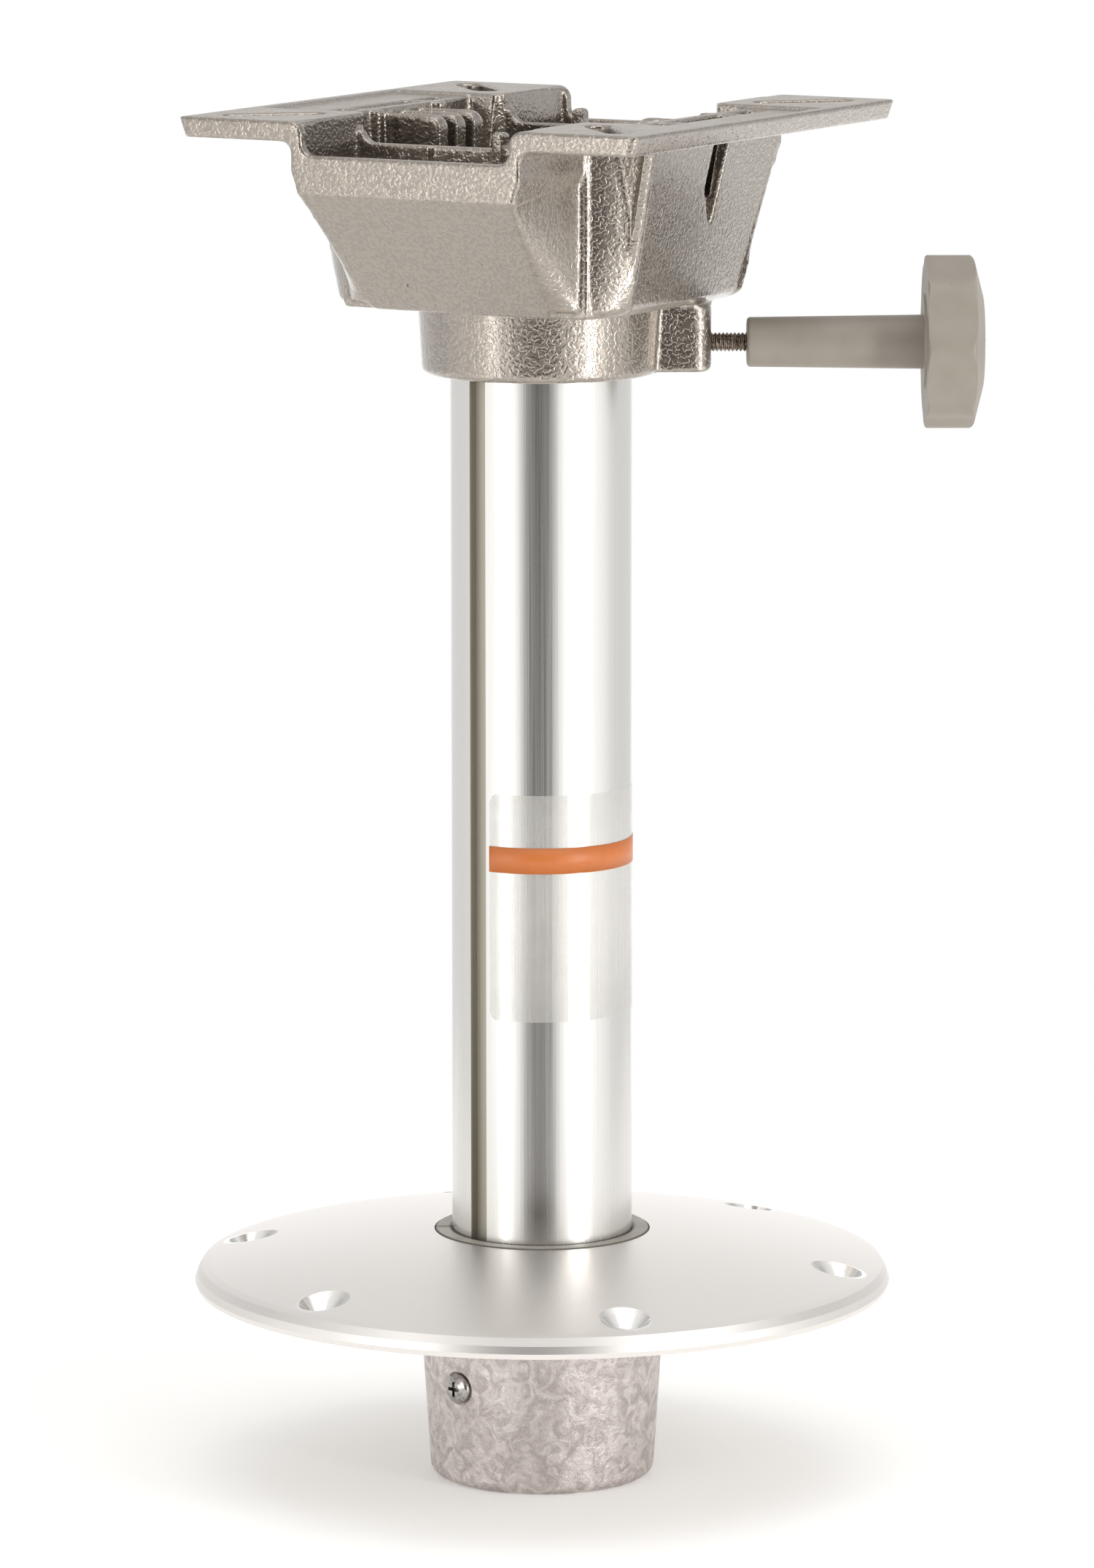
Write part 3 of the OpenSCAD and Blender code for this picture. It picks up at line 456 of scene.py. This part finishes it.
castingSkin = {
    "voxelMm": 0.62,
    "smoothing": 0.5,
    "smoothSteps": 8,
    "creaseSteps": 26,          # extra smoothing along the wedges' soft creases
    "creaseReachMm": 5.0,
    "faces": 190000,
    "bowlHeightMm": 63.0,       # down from the seat face to the bowl's underside
    "flangeMm": 6.6,            # down to the flange's underside
    "lipMm": 23.2,              # down to the crease below the lips
    "bevelMm": 2.5,
    "roundUnderMm": 3.8,
    "endWallX": (53.5, 66.4),   # outside of the end walls, at the foot and under the flange
    "flankY": (37.5, 44.4),     # half width of the end walls, at the foot and under the flange
    # one bend makes each corner between wedge and end wall: where it starts and the way it faces
    # there, and its radius at the foot and under the flange
    "cornerStart": (42.8, 50.9),
    "cornerFaces": 26.0,
    "cornerRadius": (20.0, 50.0),
    "cornerOpensBy": 0.45,      # share of the height where the radius has grown to the second
    "cornerSteps": 16,
    "cornerInside": 0.7,        # a corner ends this far inside the end wall's flank
    # the edge that stands up where the corner meets the end wall: the way it faces, its half
    # width and depth, and how far it lies inside the two faces' own edge
    "ribFaces": 52.0,
    "ribHalfWidth": 1.9,
    "ribDepth": 4.0,
    "ribInside": (0.9, 0.4),
    # the plain solid's own corner, which these forms are laid over
    "coreX": 46.5,
    "coreY": 50.5,
    # the edge between a wedge's slanted face and its side: half width and reach along Y
    "wedgeFoot": (34.4, 55.0),
    "wedgeCrease": (39.5, 88.5),
    "wedgeInside": (31.4, 36.5),    # just inside the wedge's wall, at the foot and at the crease
    "coveSteps": 8,
    # where the cove's bend lies between its two ends, along X and along Y, at the foot and at the crease
    "coveBendX": (0.75, 0.5),
    "coveBendY": (0.8, 0.4),
    "coveRise": 0.8,            # share of the lip's step that the cove follows
    "insideRise": 1.75,         # how much more its inner side follows
    "overlapMm": 0.5,           # the corners reach this far into the flange
    "lipCurveMm": 7.0,          # the lip steps out over this height
    "lipStepMm": 3.4,
    "lipTrimMm": 2.4,           # taken off each end of the lip
    # shares of the height where the outlines are laid, close together round the lower edge
    "cornerShares": (0.0, 0.006, 0.014, 0.025, 0.044, 0.2, 0.4, 0.6, 0.8, 1.0),
    "coveShares": (0.0, 0.25, 0.5, 0.75, 1.0),
    # the bore that the friction pad slides in, measured out from the post's axis
    "boreRadiusMm": 5.2,
    "boreMouthMm": 31.0,
    "boreEndMm": 40.0,
    "boreEaseMm": 0.12,         # room left round the bore after the rounding
    "boreReachMm": 0.9,         # how far the rounding can have moved the bore's wall
}


def loftRings(mesh, rings):
    # closed skin over a stack of outlines that all have as many points
    rows = [[mesh.verts.new(p) for p in ring] for ring in rings]
    for first, second in zip(rows, rows[1:]):
        for j in range(len(first)):
            k = (j + 1) % len(first)
            mesh.faces.new((first[j], first[k], second[k], second[j]))
    mesh.faces.new(rows[0][::-1])
    mesh.faces.new(rows[-1])


def underCurve(values, lift):
    # how far the skin is drawn in at a height above the bowl's underside
    under = values["roundUnderMm"]
    return under - math.sqrt(under ** 2 - (under - min(under, max(0.0, lift))) ** 2)


def cornerRing(values, share, height, sideX, sideY):
    # outline of one round corner at a share of the bowl's height, ending on the end wall's flank
    drawnIn = underCurve(values, share * (values["bowlHeightMm"] - values["flangeMm"]))
    flank = between(*values["flankY"], share) - values["cornerInside"]
    radius = between(*values["cornerRadius"], min(1.0, share / values["cornerOpensBy"]))
    x, y = values["cornerStart"]
    first = math.radians(values["cornerFaces"])
    last = math.acos(min(1.0, max(0.03, math.cos(first) - (y - flank) / radius)))
    outline = []
    for i in range(values["cornerSteps"] + 1):
        a = between(first, last, i / values["cornerSteps"])
        outline.append((x + radius * (math.sin(a) - math.sin(first)) - drawnIn * math.sin(a),
                        y - radius * (math.cos(first) - math.cos(a)) - drawnIn * math.cos(a)))
    # closed by three points inside the plain solid
    outline += [(values["coreX"] - 1.0, flank - 1.0 - drawnIn),
                (values["coreX"] - 2.0, values["coreY"] - 6.0),
                (x - 1.5, y - 1.0 - drawnIn)]
    return [Vector((sideX * px * mm, sideY * py * mm, height)) for px, py in outline]


def coveRing(values, share, height, sideX, sideY, rise=0.0):
    # hollow sweep from the wedge's slanted edge back to the round corner
    footX, footY = values["wedgeFoot"]
    creaseX, creaseY = values["wedgeCrease"]
    edge = (between(footX, creaseX, share) + rise, between(footY, creaseY, share))
    back = values["cornerStart"]
    middle = (between(edge[0], back[0], between(*values["coveBendX"], share)),
              between(back[1], edge[1], between(*values["coveBendY"], share)))
    inside = between(*values["wedgeInside"], share) + values["insideRise"] * rise
    outline = []
    for i in range(values["coveSteps"] + 1):
        s = i / values["coveSteps"]
        outline.append([a * (1 - s) ** 2 + b * 2 * s * (1 - s) + c * s ** 2
                        for a, b, c in zip(edge, middle, back)])
    # closed by three points inside the wedge's wall
    outline += [(back[0] - 1.0, back[1] - 2.0), (inside, back[1] - 2.0), (inside, edge[1] - 2.5)]
    return [Vector((sideX * px * mm, sideY * py * mm, height)) for px, py in outline]


def ribRing(values, share, height, sideX, sideY):
    # the proud edge between a corner and its end wall, turned to face half way between them
    face = math.radians(values["ribFaces"])
    out = Vector((math.sin(face), math.cos(face)))
    along = Vector((math.cos(face), -math.sin(face)))
    drawnIn = underCurve(values, share * (values["bowlHeightMm"] - values["flangeMm"]))
    middle = Vector((between(*values["endWallX"], share) - values["ribInside"][0] - drawnIn,
                     between(*values["flankY"], share) - values["ribInside"][1]))
    half, deep = values["ribHalfWidth"], values["ribDepth"]
    outline = [middle + along * side * half - out * depth
               for side, depth in ((-1, 0.0), (1, 0.0), (1, deep), (-1, deep))]
    return [Vector((sideX * p.x * mm, sideY * p.y * mm, height)) for p in outline]


def castingForms(values, seatHeight):
    # what the mould's pull leaves at the four corners, laid over the plain solid
    mesh = bmesh.new()
    foot = seatHeight - values["bowlHeightMm"] * mm
    flange = seatHeight - values["flangeMm"] * mm
    crease = seatHeight - values["lipMm"] * mm
    wedge = foot + values["bevelMm"] * mm
    lip = crease + values["lipCurveMm"] * mm
    top = flange + values["overlapMm"] * mm
    rise = values["lipStepMm"] * values["coveRise"]
    for sideX, sideY in ((-1, -1), (-1, 1), (1, -1), (1, 1)):
        for ring in (cornerRing, ribRing):
            loftRings(mesh, [ring(values, share, between(foot, top, share), sideX, sideY)
                             for share in values["cornerShares"]])
        rings = [coveRing(values, share, between(wedge, crease, share), sideX, sideY)
                 for share in values["coveShares"]]
        rings += [coveRing(values, 1.0, height, sideX, sideY, rise) for height in (lip, flange)]
        loftRings(mesh, rings)
    bmesh.ops.recalc_face_normals(mesh, faces=mesh.faces)
    return mesh


def nearCrease(point, values, seatHeight):
    # 1 on the edge between a wedge's slanted face and its side, 0 beyond the reach of the crease
    reach = values["creaseReachMm"] * mm
    flange = seatHeight - values["flangeMm"] * mm
    top = Vector((*[v * mm for v in values["wedgeCrease"]], seatHeight - values["lipMm"] * mm))
    foot = Vector((*[v * mm for v in values["wedgeFoot"]],
                   seatHeight - (values["bowlHeightMm"] - values["bevelMm"]) * mm))
    folded = Vector((abs(point.x), abs(point.y), point.z))
    along = max(0.0, min(1.0, (folded - foot).dot(top - foot) / (top - foot).length_squared))
    gap = (folded - foot.lerp(top, along)).length
    slanted = max(0.0, 1.0 - gap / reach) * (1.0 - along ** 4)
    # and along the upright hollow between a wedge and its corner
    across = (Vector(folded[:2]) - Vector([v * mm for v in values["cornerStart"]])).length
    within = smoothStep(foot.z, foot.z + 3 * mm, point.z) * smoothStep(flange, flange - 4 * mm, point.z)
    return max(slanted, within * max(0.0, 1.0 - across / (reach * 0.5)))


def trimLip(mesh, values, seatHeight):
    # the outer ends of the two lips, drawn in a little between the crease and the flange
    start = values["wedgeCrease"][0] * mm
    crease = seatHeight - values["lipMm"] * mm
    flange = seatHeight - values["flangeMm"] * mm + 1e-5
    for vertex in mesh.vertices:
        p = vertex.co
        if abs(p.x) > start and abs(p.y) > (values["coreY"] + 1) * mm and p.z < flange:
            outwards = smoothStep(start, start + values["lipStepMm"] * mm, abs(p.x))
            upwards = smoothStep(crease - mm, crease + 2 * mm, p.z)
            p.x -= math.copysign(values["lipTrimMm"] * mm * outwards * upwards, p.x)


def roundUnder(mesh, values, seatHeight):
    # the end walls' lower edge, which the plain solid leaves square
    foot = seatHeight - values["bowlHeightMm"] * mm
    wallMm = values["bowlHeightMm"] - values["flangeMm"]
    under = values["roundUnderMm"]
    for vertex in mesh.vertices:
        p = vertex.co
        lift = (p.z - foot) / mm
        inner = (between(*values["endWallX"], max(0.0, lift) / wallMm) - under) * mm
        if -1.0 < lift < under and abs(p.x) > inner:
            p.x -= math.copysign((abs(p.x) - inner) * underCurve(values, lift) / under, p.x)


def clearPadBore(mesh, values):
    # the friction pad slides in this bore, so its wall and its end go back to their full size
    reach = values["boreReachMm"] * mm
    radius = (values["boreRadiusMm"] + values["boreEaseMm"]) * mm
    end = (values["boreEndMm"] + values["boreEaseMm"]) * mm
    for vertex in mesh.vertices:
        offset = vertex.co - lockCentre
        along = offset.dot(lockOut)
        across = offset - lockOut * along
        if not values["boreMouthMm"] * mm < along < end or across.length > radius:
            continue
        if across.length > radius - reach:
            vertex.co += across.normalized() * (radius - across.length)
        if along > end - reach:
            vertex.co += lockOut * (end - along)


def meshAsShown(thing):
    # the object's mesh with its modifiers applied
    bpy.context.view_layer.update()
    shown = thing.evaluated_get(bpy.context.evaluated_depsgraph_get())
    return bpy.data.meshes.new_from_object(shown)


def roundedCasting(values):
    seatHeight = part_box("seat_mount")[1].z
    skin = nodes["seat_mount"].data.copy()
    skin.materials.clear()
    trimLip(skin, values, seatHeight)
    whole = castingForms(values, seatHeight)
    whole.from_mesh(skin)
    whole.to_mesh(skin)
    whole.free()
    thing = bpy.data.objects.new("seatMountCasting", skin)
    bpy.context.scene.collection.objects.link(thing)
    # one closed skin over the solid and the forms
    weld = thing.modifiers.new("weld", "WELD")
    weld.merge_threshold = 0.002 * mm
    remesh = thing.modifiers.new("remesh", "REMESH")
    remesh.mode = "VOXEL"
    remesh.voxel_size = values["voxelMm"] * mm
    thing.data = meshAsShown(thing)
    thing.modifiers.clear()
    roundUnder(thing.data, values, seatHeight)
    # softened, most along the creases, and thinned
    soft = thing.vertex_groups.new(name="creases")
    for vertex in thing.data.vertices:
        weight = nearCrease(vertex.co, values, seatHeight)
        if weight > 0:
            soft.add([vertex.index], weight, "REPLACE")
    creases = thing.modifiers.new("creases", "SMOOTH")
    creases.factor = values["smoothing"]
    creases.iterations = values["creaseSteps"]
    creases.vertex_group = soft.name
    smooth = thing.modifiers.new("smooth", "SMOOTH")
    smooth.factor = values["smoothing"]
    smooth.iterations = values["smoothSteps"]
    count = sum(len(p.vertices) - 2 for p in thing.data.polygons)
    thin = thing.modifiers.new("thin", "DECIMATE")
    thin.ratio = min(1.0, values["faces"] / count)
    made = meshAsShown(thing)
    bpy.data.objects.remove(thing)
    clearPadBore(made, values)
    made.polygons.foreach_set("use_smooth", [True] * len(made.polygons))
    print("casting:", count, "faces thinned to", len(made.polygons))
    return made


casting = addObject("seatMountCasting", roundedCasting(castingSkin), hammered, "seat")
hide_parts("seat_mount")


# threaded rod with its rolled thread

rodThread = {
    "pitchMm": 1.27,
    "depthMm": 0.62,
    "crestShare": 0.12,         # share of the pitch that is flat crest, and as much again flat root
    "ringsPerTurn": 8,
    "stepsRound": 40,
}


def threadedRod(values):
    # a wall of points wound round the axis, its radius following the thread's profile
    low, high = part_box("threaded_rod")
    radius = (high.z - low.z) / 2
    upright = Matrix.Rotation(math.radians(90), 3, "Y")
    towards = Matrix.Rotation(math.atan2(lockOut.y, lockOut.x), 3, "Z") @ upright
    reached = [v.co.dot(lockOut) for v in nodes["threaded_rod"].data.vertices]
    start, end = min(reached), max(reached)
    pitch, depth = values["pitchMm"] * mm, values["depthMm"] * mm
    flanks = 1 - 2 * values["crestShare"]
    count = int((end - start) / pitch * values["ringsPerTurn"])
    rings = []
    for i in range(count + 1):
        along = start + (end - start) * i / count
        ring = []
        for j in range(values["stepsRound"]):
            a = 2 * math.pi * j / values["stepsRound"]
            phase = (along / pitch - j / values["stepsRound"]) % 1.0
            # flat crest, straight flanks and a narrow root
            drop = min(1.0, max(0.0, (abs(phase - 0.5) * 2 - values["crestShare"]) / flanks))
            # the thread runs out over the last turn at each end
            lead = min(1.0, (along - start) / pitch, (end - along) / pitch)
            r = radius - depth * (drop if lead >= 1 else max(drop, 1 - lead))
            ring.append(lockCentre + towards @ Vector((r * math.cos(a), r * math.sin(a), along)))
        rings.append(ring)
    mesh = bmesh.new()
    loftRings(mesh, rings)
    for face in mesh.faces:
        face.smooth = len(face.verts) == 4
    bmesh.ops.recalc_face_normals(mesh, faces=mesh.faces)
    made = bpy.data.meshes.new("threadedRodThread")
    mesh.to_mesh(made)
    mesh.free()
    return made


rod = addObject("threadedRodThread", threadedRod(rodThread), darkSteel, "lock")
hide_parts("threaded_rod")
print("thread cut on the rod")


# clear film with one plain orange band, stuck on the post

filmSheet = {
    "radiusMm": 30.06,          # just clear of the post's skin
    "thickMm": 0.1,
    "startDeg": -95.4,
    "endDeg": 57.0,
    "bottomMm": 93.5,
    "topMm": 169.0,
    "cornerMm": 3.0,
    "stepMm": 1.0,
    "clear": "#F4F2EC",
    "clearAlpha": (0.1, 0.2),
    "hazeMm": 20 / 3,
    "inkMm": 0.03,
    "bandBottomMm": 143.0,
    "bandTopMm": 151.6,
    "orange": "#C9733A",
    "orangeShade": "#BE6A34",
    "inkCloudMm": 10 / 3,
}


def clearFilm(values):
    # printed polyester film: glass clear, and glossier than the metal under it
    material, tree, shader, place = startMaterial("clearPolyesterFilm",
                                                  Metallic=0.0, IOR=1.45, Roughness=0.12)
    shader.inputs["Base Color"].default_value = toLinear(values["clear"])
    haze = addNode(tree, "ShaderNodeTexNoise", {},
                   {"Vector": place, "Scale": 1 / values["hazeMm"], "Detail": 3.0})
    low, high = values["clearAlpha"]
    thin = addNode(tree, "ShaderNodeMapRange", {},
                   {"Value": haze.outputs["Fac"], "To Min": low, "To Max": high})
    tree.links.new(thin.outputs[0], shader.inputs["Alpha"])
    return material


def printedOrange(values):
    # screen-printed ink on film: even, slightly glossy, a little uneven in density
    material, tree, shader, place = startMaterial("printedOrangeInk",
                                                  Metallic=0.0, IOR=1.48, Roughness=0.38)
    cloud = addNode(tree, "ShaderNodeTexNoise", {},
                    {"Vector": place, "Scale": 1 / values["inkCloudMm"], "Detail": 4.0})
    colour = addNode(tree, "ShaderNodeMix", {"data_type": "RGBA"},
                     {0: cloud.outputs["Fac"],
                      6: toLinear(values["orangeShade"]), 7: toLinear(values["orange"])})
    tree.links.new(colour.outputs[2], shader.inputs["Base Color"])
    return material


def curvedPatch(name, values, radiusMm, thickMm, bottomMm, topMm, cornerMm):
    # a flat outline with round corners, laid round the post
    radius, thick, corner = radiusMm * mm, thickMm * mm, cornerMm * mm
    bottom, top = bottomMm * mm, topMm * mm
    width = radius * math.radians(values["endDeg"] - values["startDeg"])
    columns = max(2, int(width / (values["stepMm"] * mm)))
    mesh = bmesh.new()
    rows = []
    for i in range(columns + 1):
        x = width * i / columns
        edge = min(x, width - x)
        cut = 0.0
        if edge < corner:
            cut = corner - math.sqrt(max(0.0, corner * corner - (corner - edge) ** 2))
        a = math.radians(values["startDeg"]) + x / radius
        rows.append([[mesh.verts.new((r * math.cos(a), r * math.sin(a), z))
                      for z in (bottom + cut, top - cut)]
                     for r in (radius, radius + thick)])
    for (inA, outA), (inB, outB) in zip(rows, rows[1:]):
        mesh.faces.new((outA[0], outB[0], outB[1], outA[1]))
        mesh.faces.new((inA[0], inA[1], inB[1], inB[0]))
        mesh.faces.new((inA[0], inB[0], outB[0], outA[0]))
        mesh.faces.new((inA[1], outA[1], outB[1], inB[1]))
    for inner, outer in (rows[0], rows[-1]):
        mesh.faces.new((inner[0], outer[0], outer[1], inner[1]))
    bmesh.ops.recalc_face_normals(mesh, faces=mesh.faces)
    for face in mesh.faces:
        face.smooth = True
    made = bpy.data.meshes.new(name)
    mesh.to_mesh(made)
    mesh.free()
    return made


def stickFilm(values):
    sheet = curvedPatch("clearFilm", values, values["radiusMm"], values["thickMm"],
                        values["bottomMm"], values["topMm"], values["cornerMm"])
    addObject("clearFilm", sheet, clearFilm(values), "post")
    band = curvedPatch("orangeBand", values, values["radiusMm"] + values["thickMm"], values["inkMm"],
                       values["bandBottomMm"], values["bandTopMm"], 0.0)
    addObject("orangeBand", band, printedOrange(values), "post")


stickFilm(filmSheet)
print("film is on the post")


# studio: a sheet of white paper, two tall strip lights and a pale room, dim behind the camera

photoCamera = {
    "azimuth": 29.64,
    "pitchDown": 9.26,
    "roll": -0.04,
    "placeMm": (1312.31, -2302.84, 600.3),
    "focalPixels": 11114.8,     # for the photograph's 1500 by 2149 pixels
    "imageHeight": 2149,
    "sensorMm": 36.0,
    "clipM": (0.05, 200),
}

studio = {
    "floorTone": "#F4F3F1",
    "floorGlow": 0.2,           # the paper lies on a light table
    "floorHeightMm": -64.8,
    "paperFrontM": 0.34,
    "paperBackM": 0.6,
    "paperHalfWidthM": 0.55,
    "aim": (0, 0, 0.2),         # the lights point at the middle of the post
    "stripTurns": (-47.0, 48.0),    # degrees round the post from the camera
    "stripAwayM": 1.6,
    "stripRaisedM": 0.35,
    "stripWidthM": 0.22,
    "stripHeightM": 1.7,
    "stripPowers": (4.5, 12.5),
    "topTurn": 20,
    "topAwayM": 0.3,
    "topRaisedM": 2.0,
    "topSizeM": 1.6,
    "topPower": 10.0,
    # brightness of the room, by the angle from the camera's side: dim, bright, pale grey, white
    "room": ((0.0, 0.05), (0.083, 0.06), (0.152, 1.25), (0.46, 1.2),
             (0.6, 0.85), (0.86, 0.85), (0.95, 1.38)),
    "roomTurn": 3.0,            # degrees that the dim part lies to the camera's left
    "dimBelow": 0.5,            # stops darker than this are the dim part, and a little warm
    "dimTint": (1.12, 0.98, 0.88),
    # the next three begin where the direction's height passes from the first number to the second
    "upperWallsFrom": (0.2, 0.42),
    "upperWalls": 0.62,         # share of the walls' brightness there
    "ceilingFrom": (0.5, 0.85),
    "ceiling": 0.9,
    "whiteBelowFrom": (-0.22, -0.36),
    "whiteBelow": 1.45,         # the table's white beyond the paper
}


def sideways(degrees, distance, height):
    # a place round the post, counted from where the camera stands
    a = math.radians(photoCamera["azimuth"] - 90 + degrees)
    return Vector((distance * math.cos(a), distance * math.sin(a), height))


def paperSheet(values):
    z = values["floorHeightMm"] * mm
    front, back, half = values["paperFrontM"], values["paperBackM"], values["paperHalfWidthM"]
    toCamera, across = sideways(0, 1, 0), sideways(90, 1, 0)
    corners = [toCamera * along + across * side + Vector((0, 0, z))
               for along, side in ((front, -half), (front, half), (-back, half), (-back, -half))]
    mesh = bpy.data.meshes.new("paperSheet")
    mesh.from_pydata(corners, [], [(0, 1, 2, 3)])
    sheet = bpy.data.objects.new("paperSheet", mesh)
    bpy.context.scene.collection.objects.link(sheet)
    material, tree, shader, place = startMaterial("mattPaper", Metallic=0.0, Roughness=0.9)
    shader.inputs["Base Color"].default_value = toLinear(values["floorTone"])
    shader.inputs["Emission Color"].default_value = toLinear(values["floorTone"])
    shader.inputs["Emission Strength"].default_value = values["floorGlow"]
    giveMaterial(sheet, material)


def paleRoom(values):
    # the camera sees plain white; what the metal reflects is set by the direction alone
    world = bpy.data.worlds.new("paleRoom")
    bpy.context.scene.world = world
    world.use_nodes = True
    tree = world.node_tree
    tree.nodes.clear()
    way = addNode(tree, "ShaderNodeTexCoord").outputs["Generated"]
    turned = addNode(tree, "ShaderNodeVectorRotate", {"rotation_type": "Z_AXIS"},
                     {"Vector": way,
                      "Angle": math.radians(90 - photoCamera["azimuth"] + values["roomTurn"])})
    parts = addNode(tree, "ShaderNodeSeparateXYZ", {}, {0: turned.outputs[0]})
    height = parts.outputs[2]
    # the walls, by the angle from the camera's side as a share of half a turn
    angle = addNode(tree, "ShaderNodeMath", {"operation": "ARCTAN2"},
                    {0: parts.outputs[1], 1: parts.outputs[0]})
    turn = addNode(tree, "ShaderNodeMath", {"operation": "ABSOLUTE"}, {0: angle.outputs[0]})
    share = addNode(tree, "ShaderNodeMath", {"operation": "DIVIDE"}, {0: turn.outputs[0], 1: math.pi})
    stops = []
    for at, brightness in values["room"]:
        if brightness < values["dimBelow"]:
            stops.append((at, [brightness * tint for tint in values["dimTint"]] + [1.0]))
        else:
            stops.append((at, grey(brightness)))
    walls = addNode(tree, "ShaderNodeValToRGB", {"stops": stops}, {"Fac": share.outputs[0]})
    walls.color_ramp.interpolation = "EASE"
    low, high = values["upperWallsFrom"]
    above = addNode(tree, "ShaderNodeMapRange", {"interpolation_type": "SMOOTHSTEP"},
                    {"Value": height, "From Min": low, "From Max": high,
                     "To Min": 1.0, "To Max": values["upperWalls"]})
    dimmed = addNode(tree, "ShaderNodeVectorMath", {"operation": "SCALE"},
                     {0: walls.outputs[0], "Scale": above.outputs[0]})
    # the ceiling and the table
    low, high = values["ceilingFrom"]
    up = addNode(tree, "ShaderNodeMapRange", {"interpolation_type": "SMOOTHSTEP"},
                 {"Value": height, "From Min": low, "From Max": high})
    whole = addNode(tree, "ShaderNodeMix", {"data_type": "RGBA"},
                    {0: up.outputs[0], 6: dimmed.outputs[0], 7: grey(values["ceiling"])})
    low, high = values["whiteBelowFrom"]
    down = addNode(tree, "ShaderNodeMapRange", {"interpolation_type": "SMOOTHSTEP"},
                   {"Value": height, "From Min": low, "From Max": high})
    grounded = addNode(tree, "ShaderNodeMix", {"data_type": "RGBA"},
                       {0: down.outputs[0], 6: whole.outputs[2], 7: grey(values["whiteBelow"])})
    room = addNode(tree, "ShaderNodeBackground", {}, {"Color": grounded.outputs[2]})
    white = addNode(tree, "ShaderNodeBackground", {}, {"Color": grey(1.0)})
    seen = addNode(tree, "ShaderNodeLightPath").outputs["Is Camera Ray"]
    mixed = addNode(tree, "ShaderNodeMixShader", {}, {0: seen, 1: room.outputs[0], 2: white.outputs[0]})
    addNode(tree, "ShaderNodeOutputWorld", {}, {"Surface": mixed.outputs[0]})


def softBox(name, place, aim, wide, tall, power):
    light = bpy.data.lights.new(name, "AREA")
    light.shape = "RECTANGLE"
    light.size, light.size_y, light.energy = wide, tall, power
    lamp = bpy.data.objects.new(name, light)
    bpy.context.scene.collection.objects.link(lamp)
    lamp.location = place
    lamp.rotation_euler = (Vector(aim) - place).to_track_quat("-Z", "Y").to_euler()


def lightStudio(values):
    for side, turn, power in zip(("Left", "Right"), values["stripTurns"], values["stripPowers"]):
        place = sideways(turn, values["stripAwayM"], values["stripRaisedM"])
        softBox("stripLight" + side, place, values["aim"],
                values["stripWidthM"], values["stripHeightM"], power)
    place = sideways(values["topTurn"], values["topAwayM"], values["topRaisedM"])
    softBox("softBoxTop", place, values["aim"], values["topSizeM"], values["topSizeM"], values["topPower"])


def placeCamera(values):
    # the camera that the photograph was taken with, as fitted to the post, the plate and the seat face
    data = bpy.data.cameras.new("photoCamera")
    data.sensor_width = values["sensorMm"]
    data.lens = values["focalPixels"] / values["imageHeight"] * values["sensorMm"]
    data.clip_start, data.clip_end = values["clipM"]
    camera = bpy.data.objects.new("photoCamera", data)
    bpy.context.scene.collection.objects.link(camera)
    camera.location = [v * mm for v in values["placeMm"]]
    camera.rotation_euler = (Matrix.Rotation(math.radians(values["azimuth"]), 3, "Z")
                             @ Matrix.Rotation(math.radians(90 - values["pitchDown"]), 3, "X")
                             @ Matrix.Rotation(math.radians(values["roll"]), 3, "Z")).to_euler()
    bpy.context.scene.camera = camera


paperSheet(studio)
paleRoom(studio)
bpy.context.scene.view_settings.view_transform = "Standard"
lightStudio(studio)
placeCamera(photoCamera)
print("studio and camera are set")
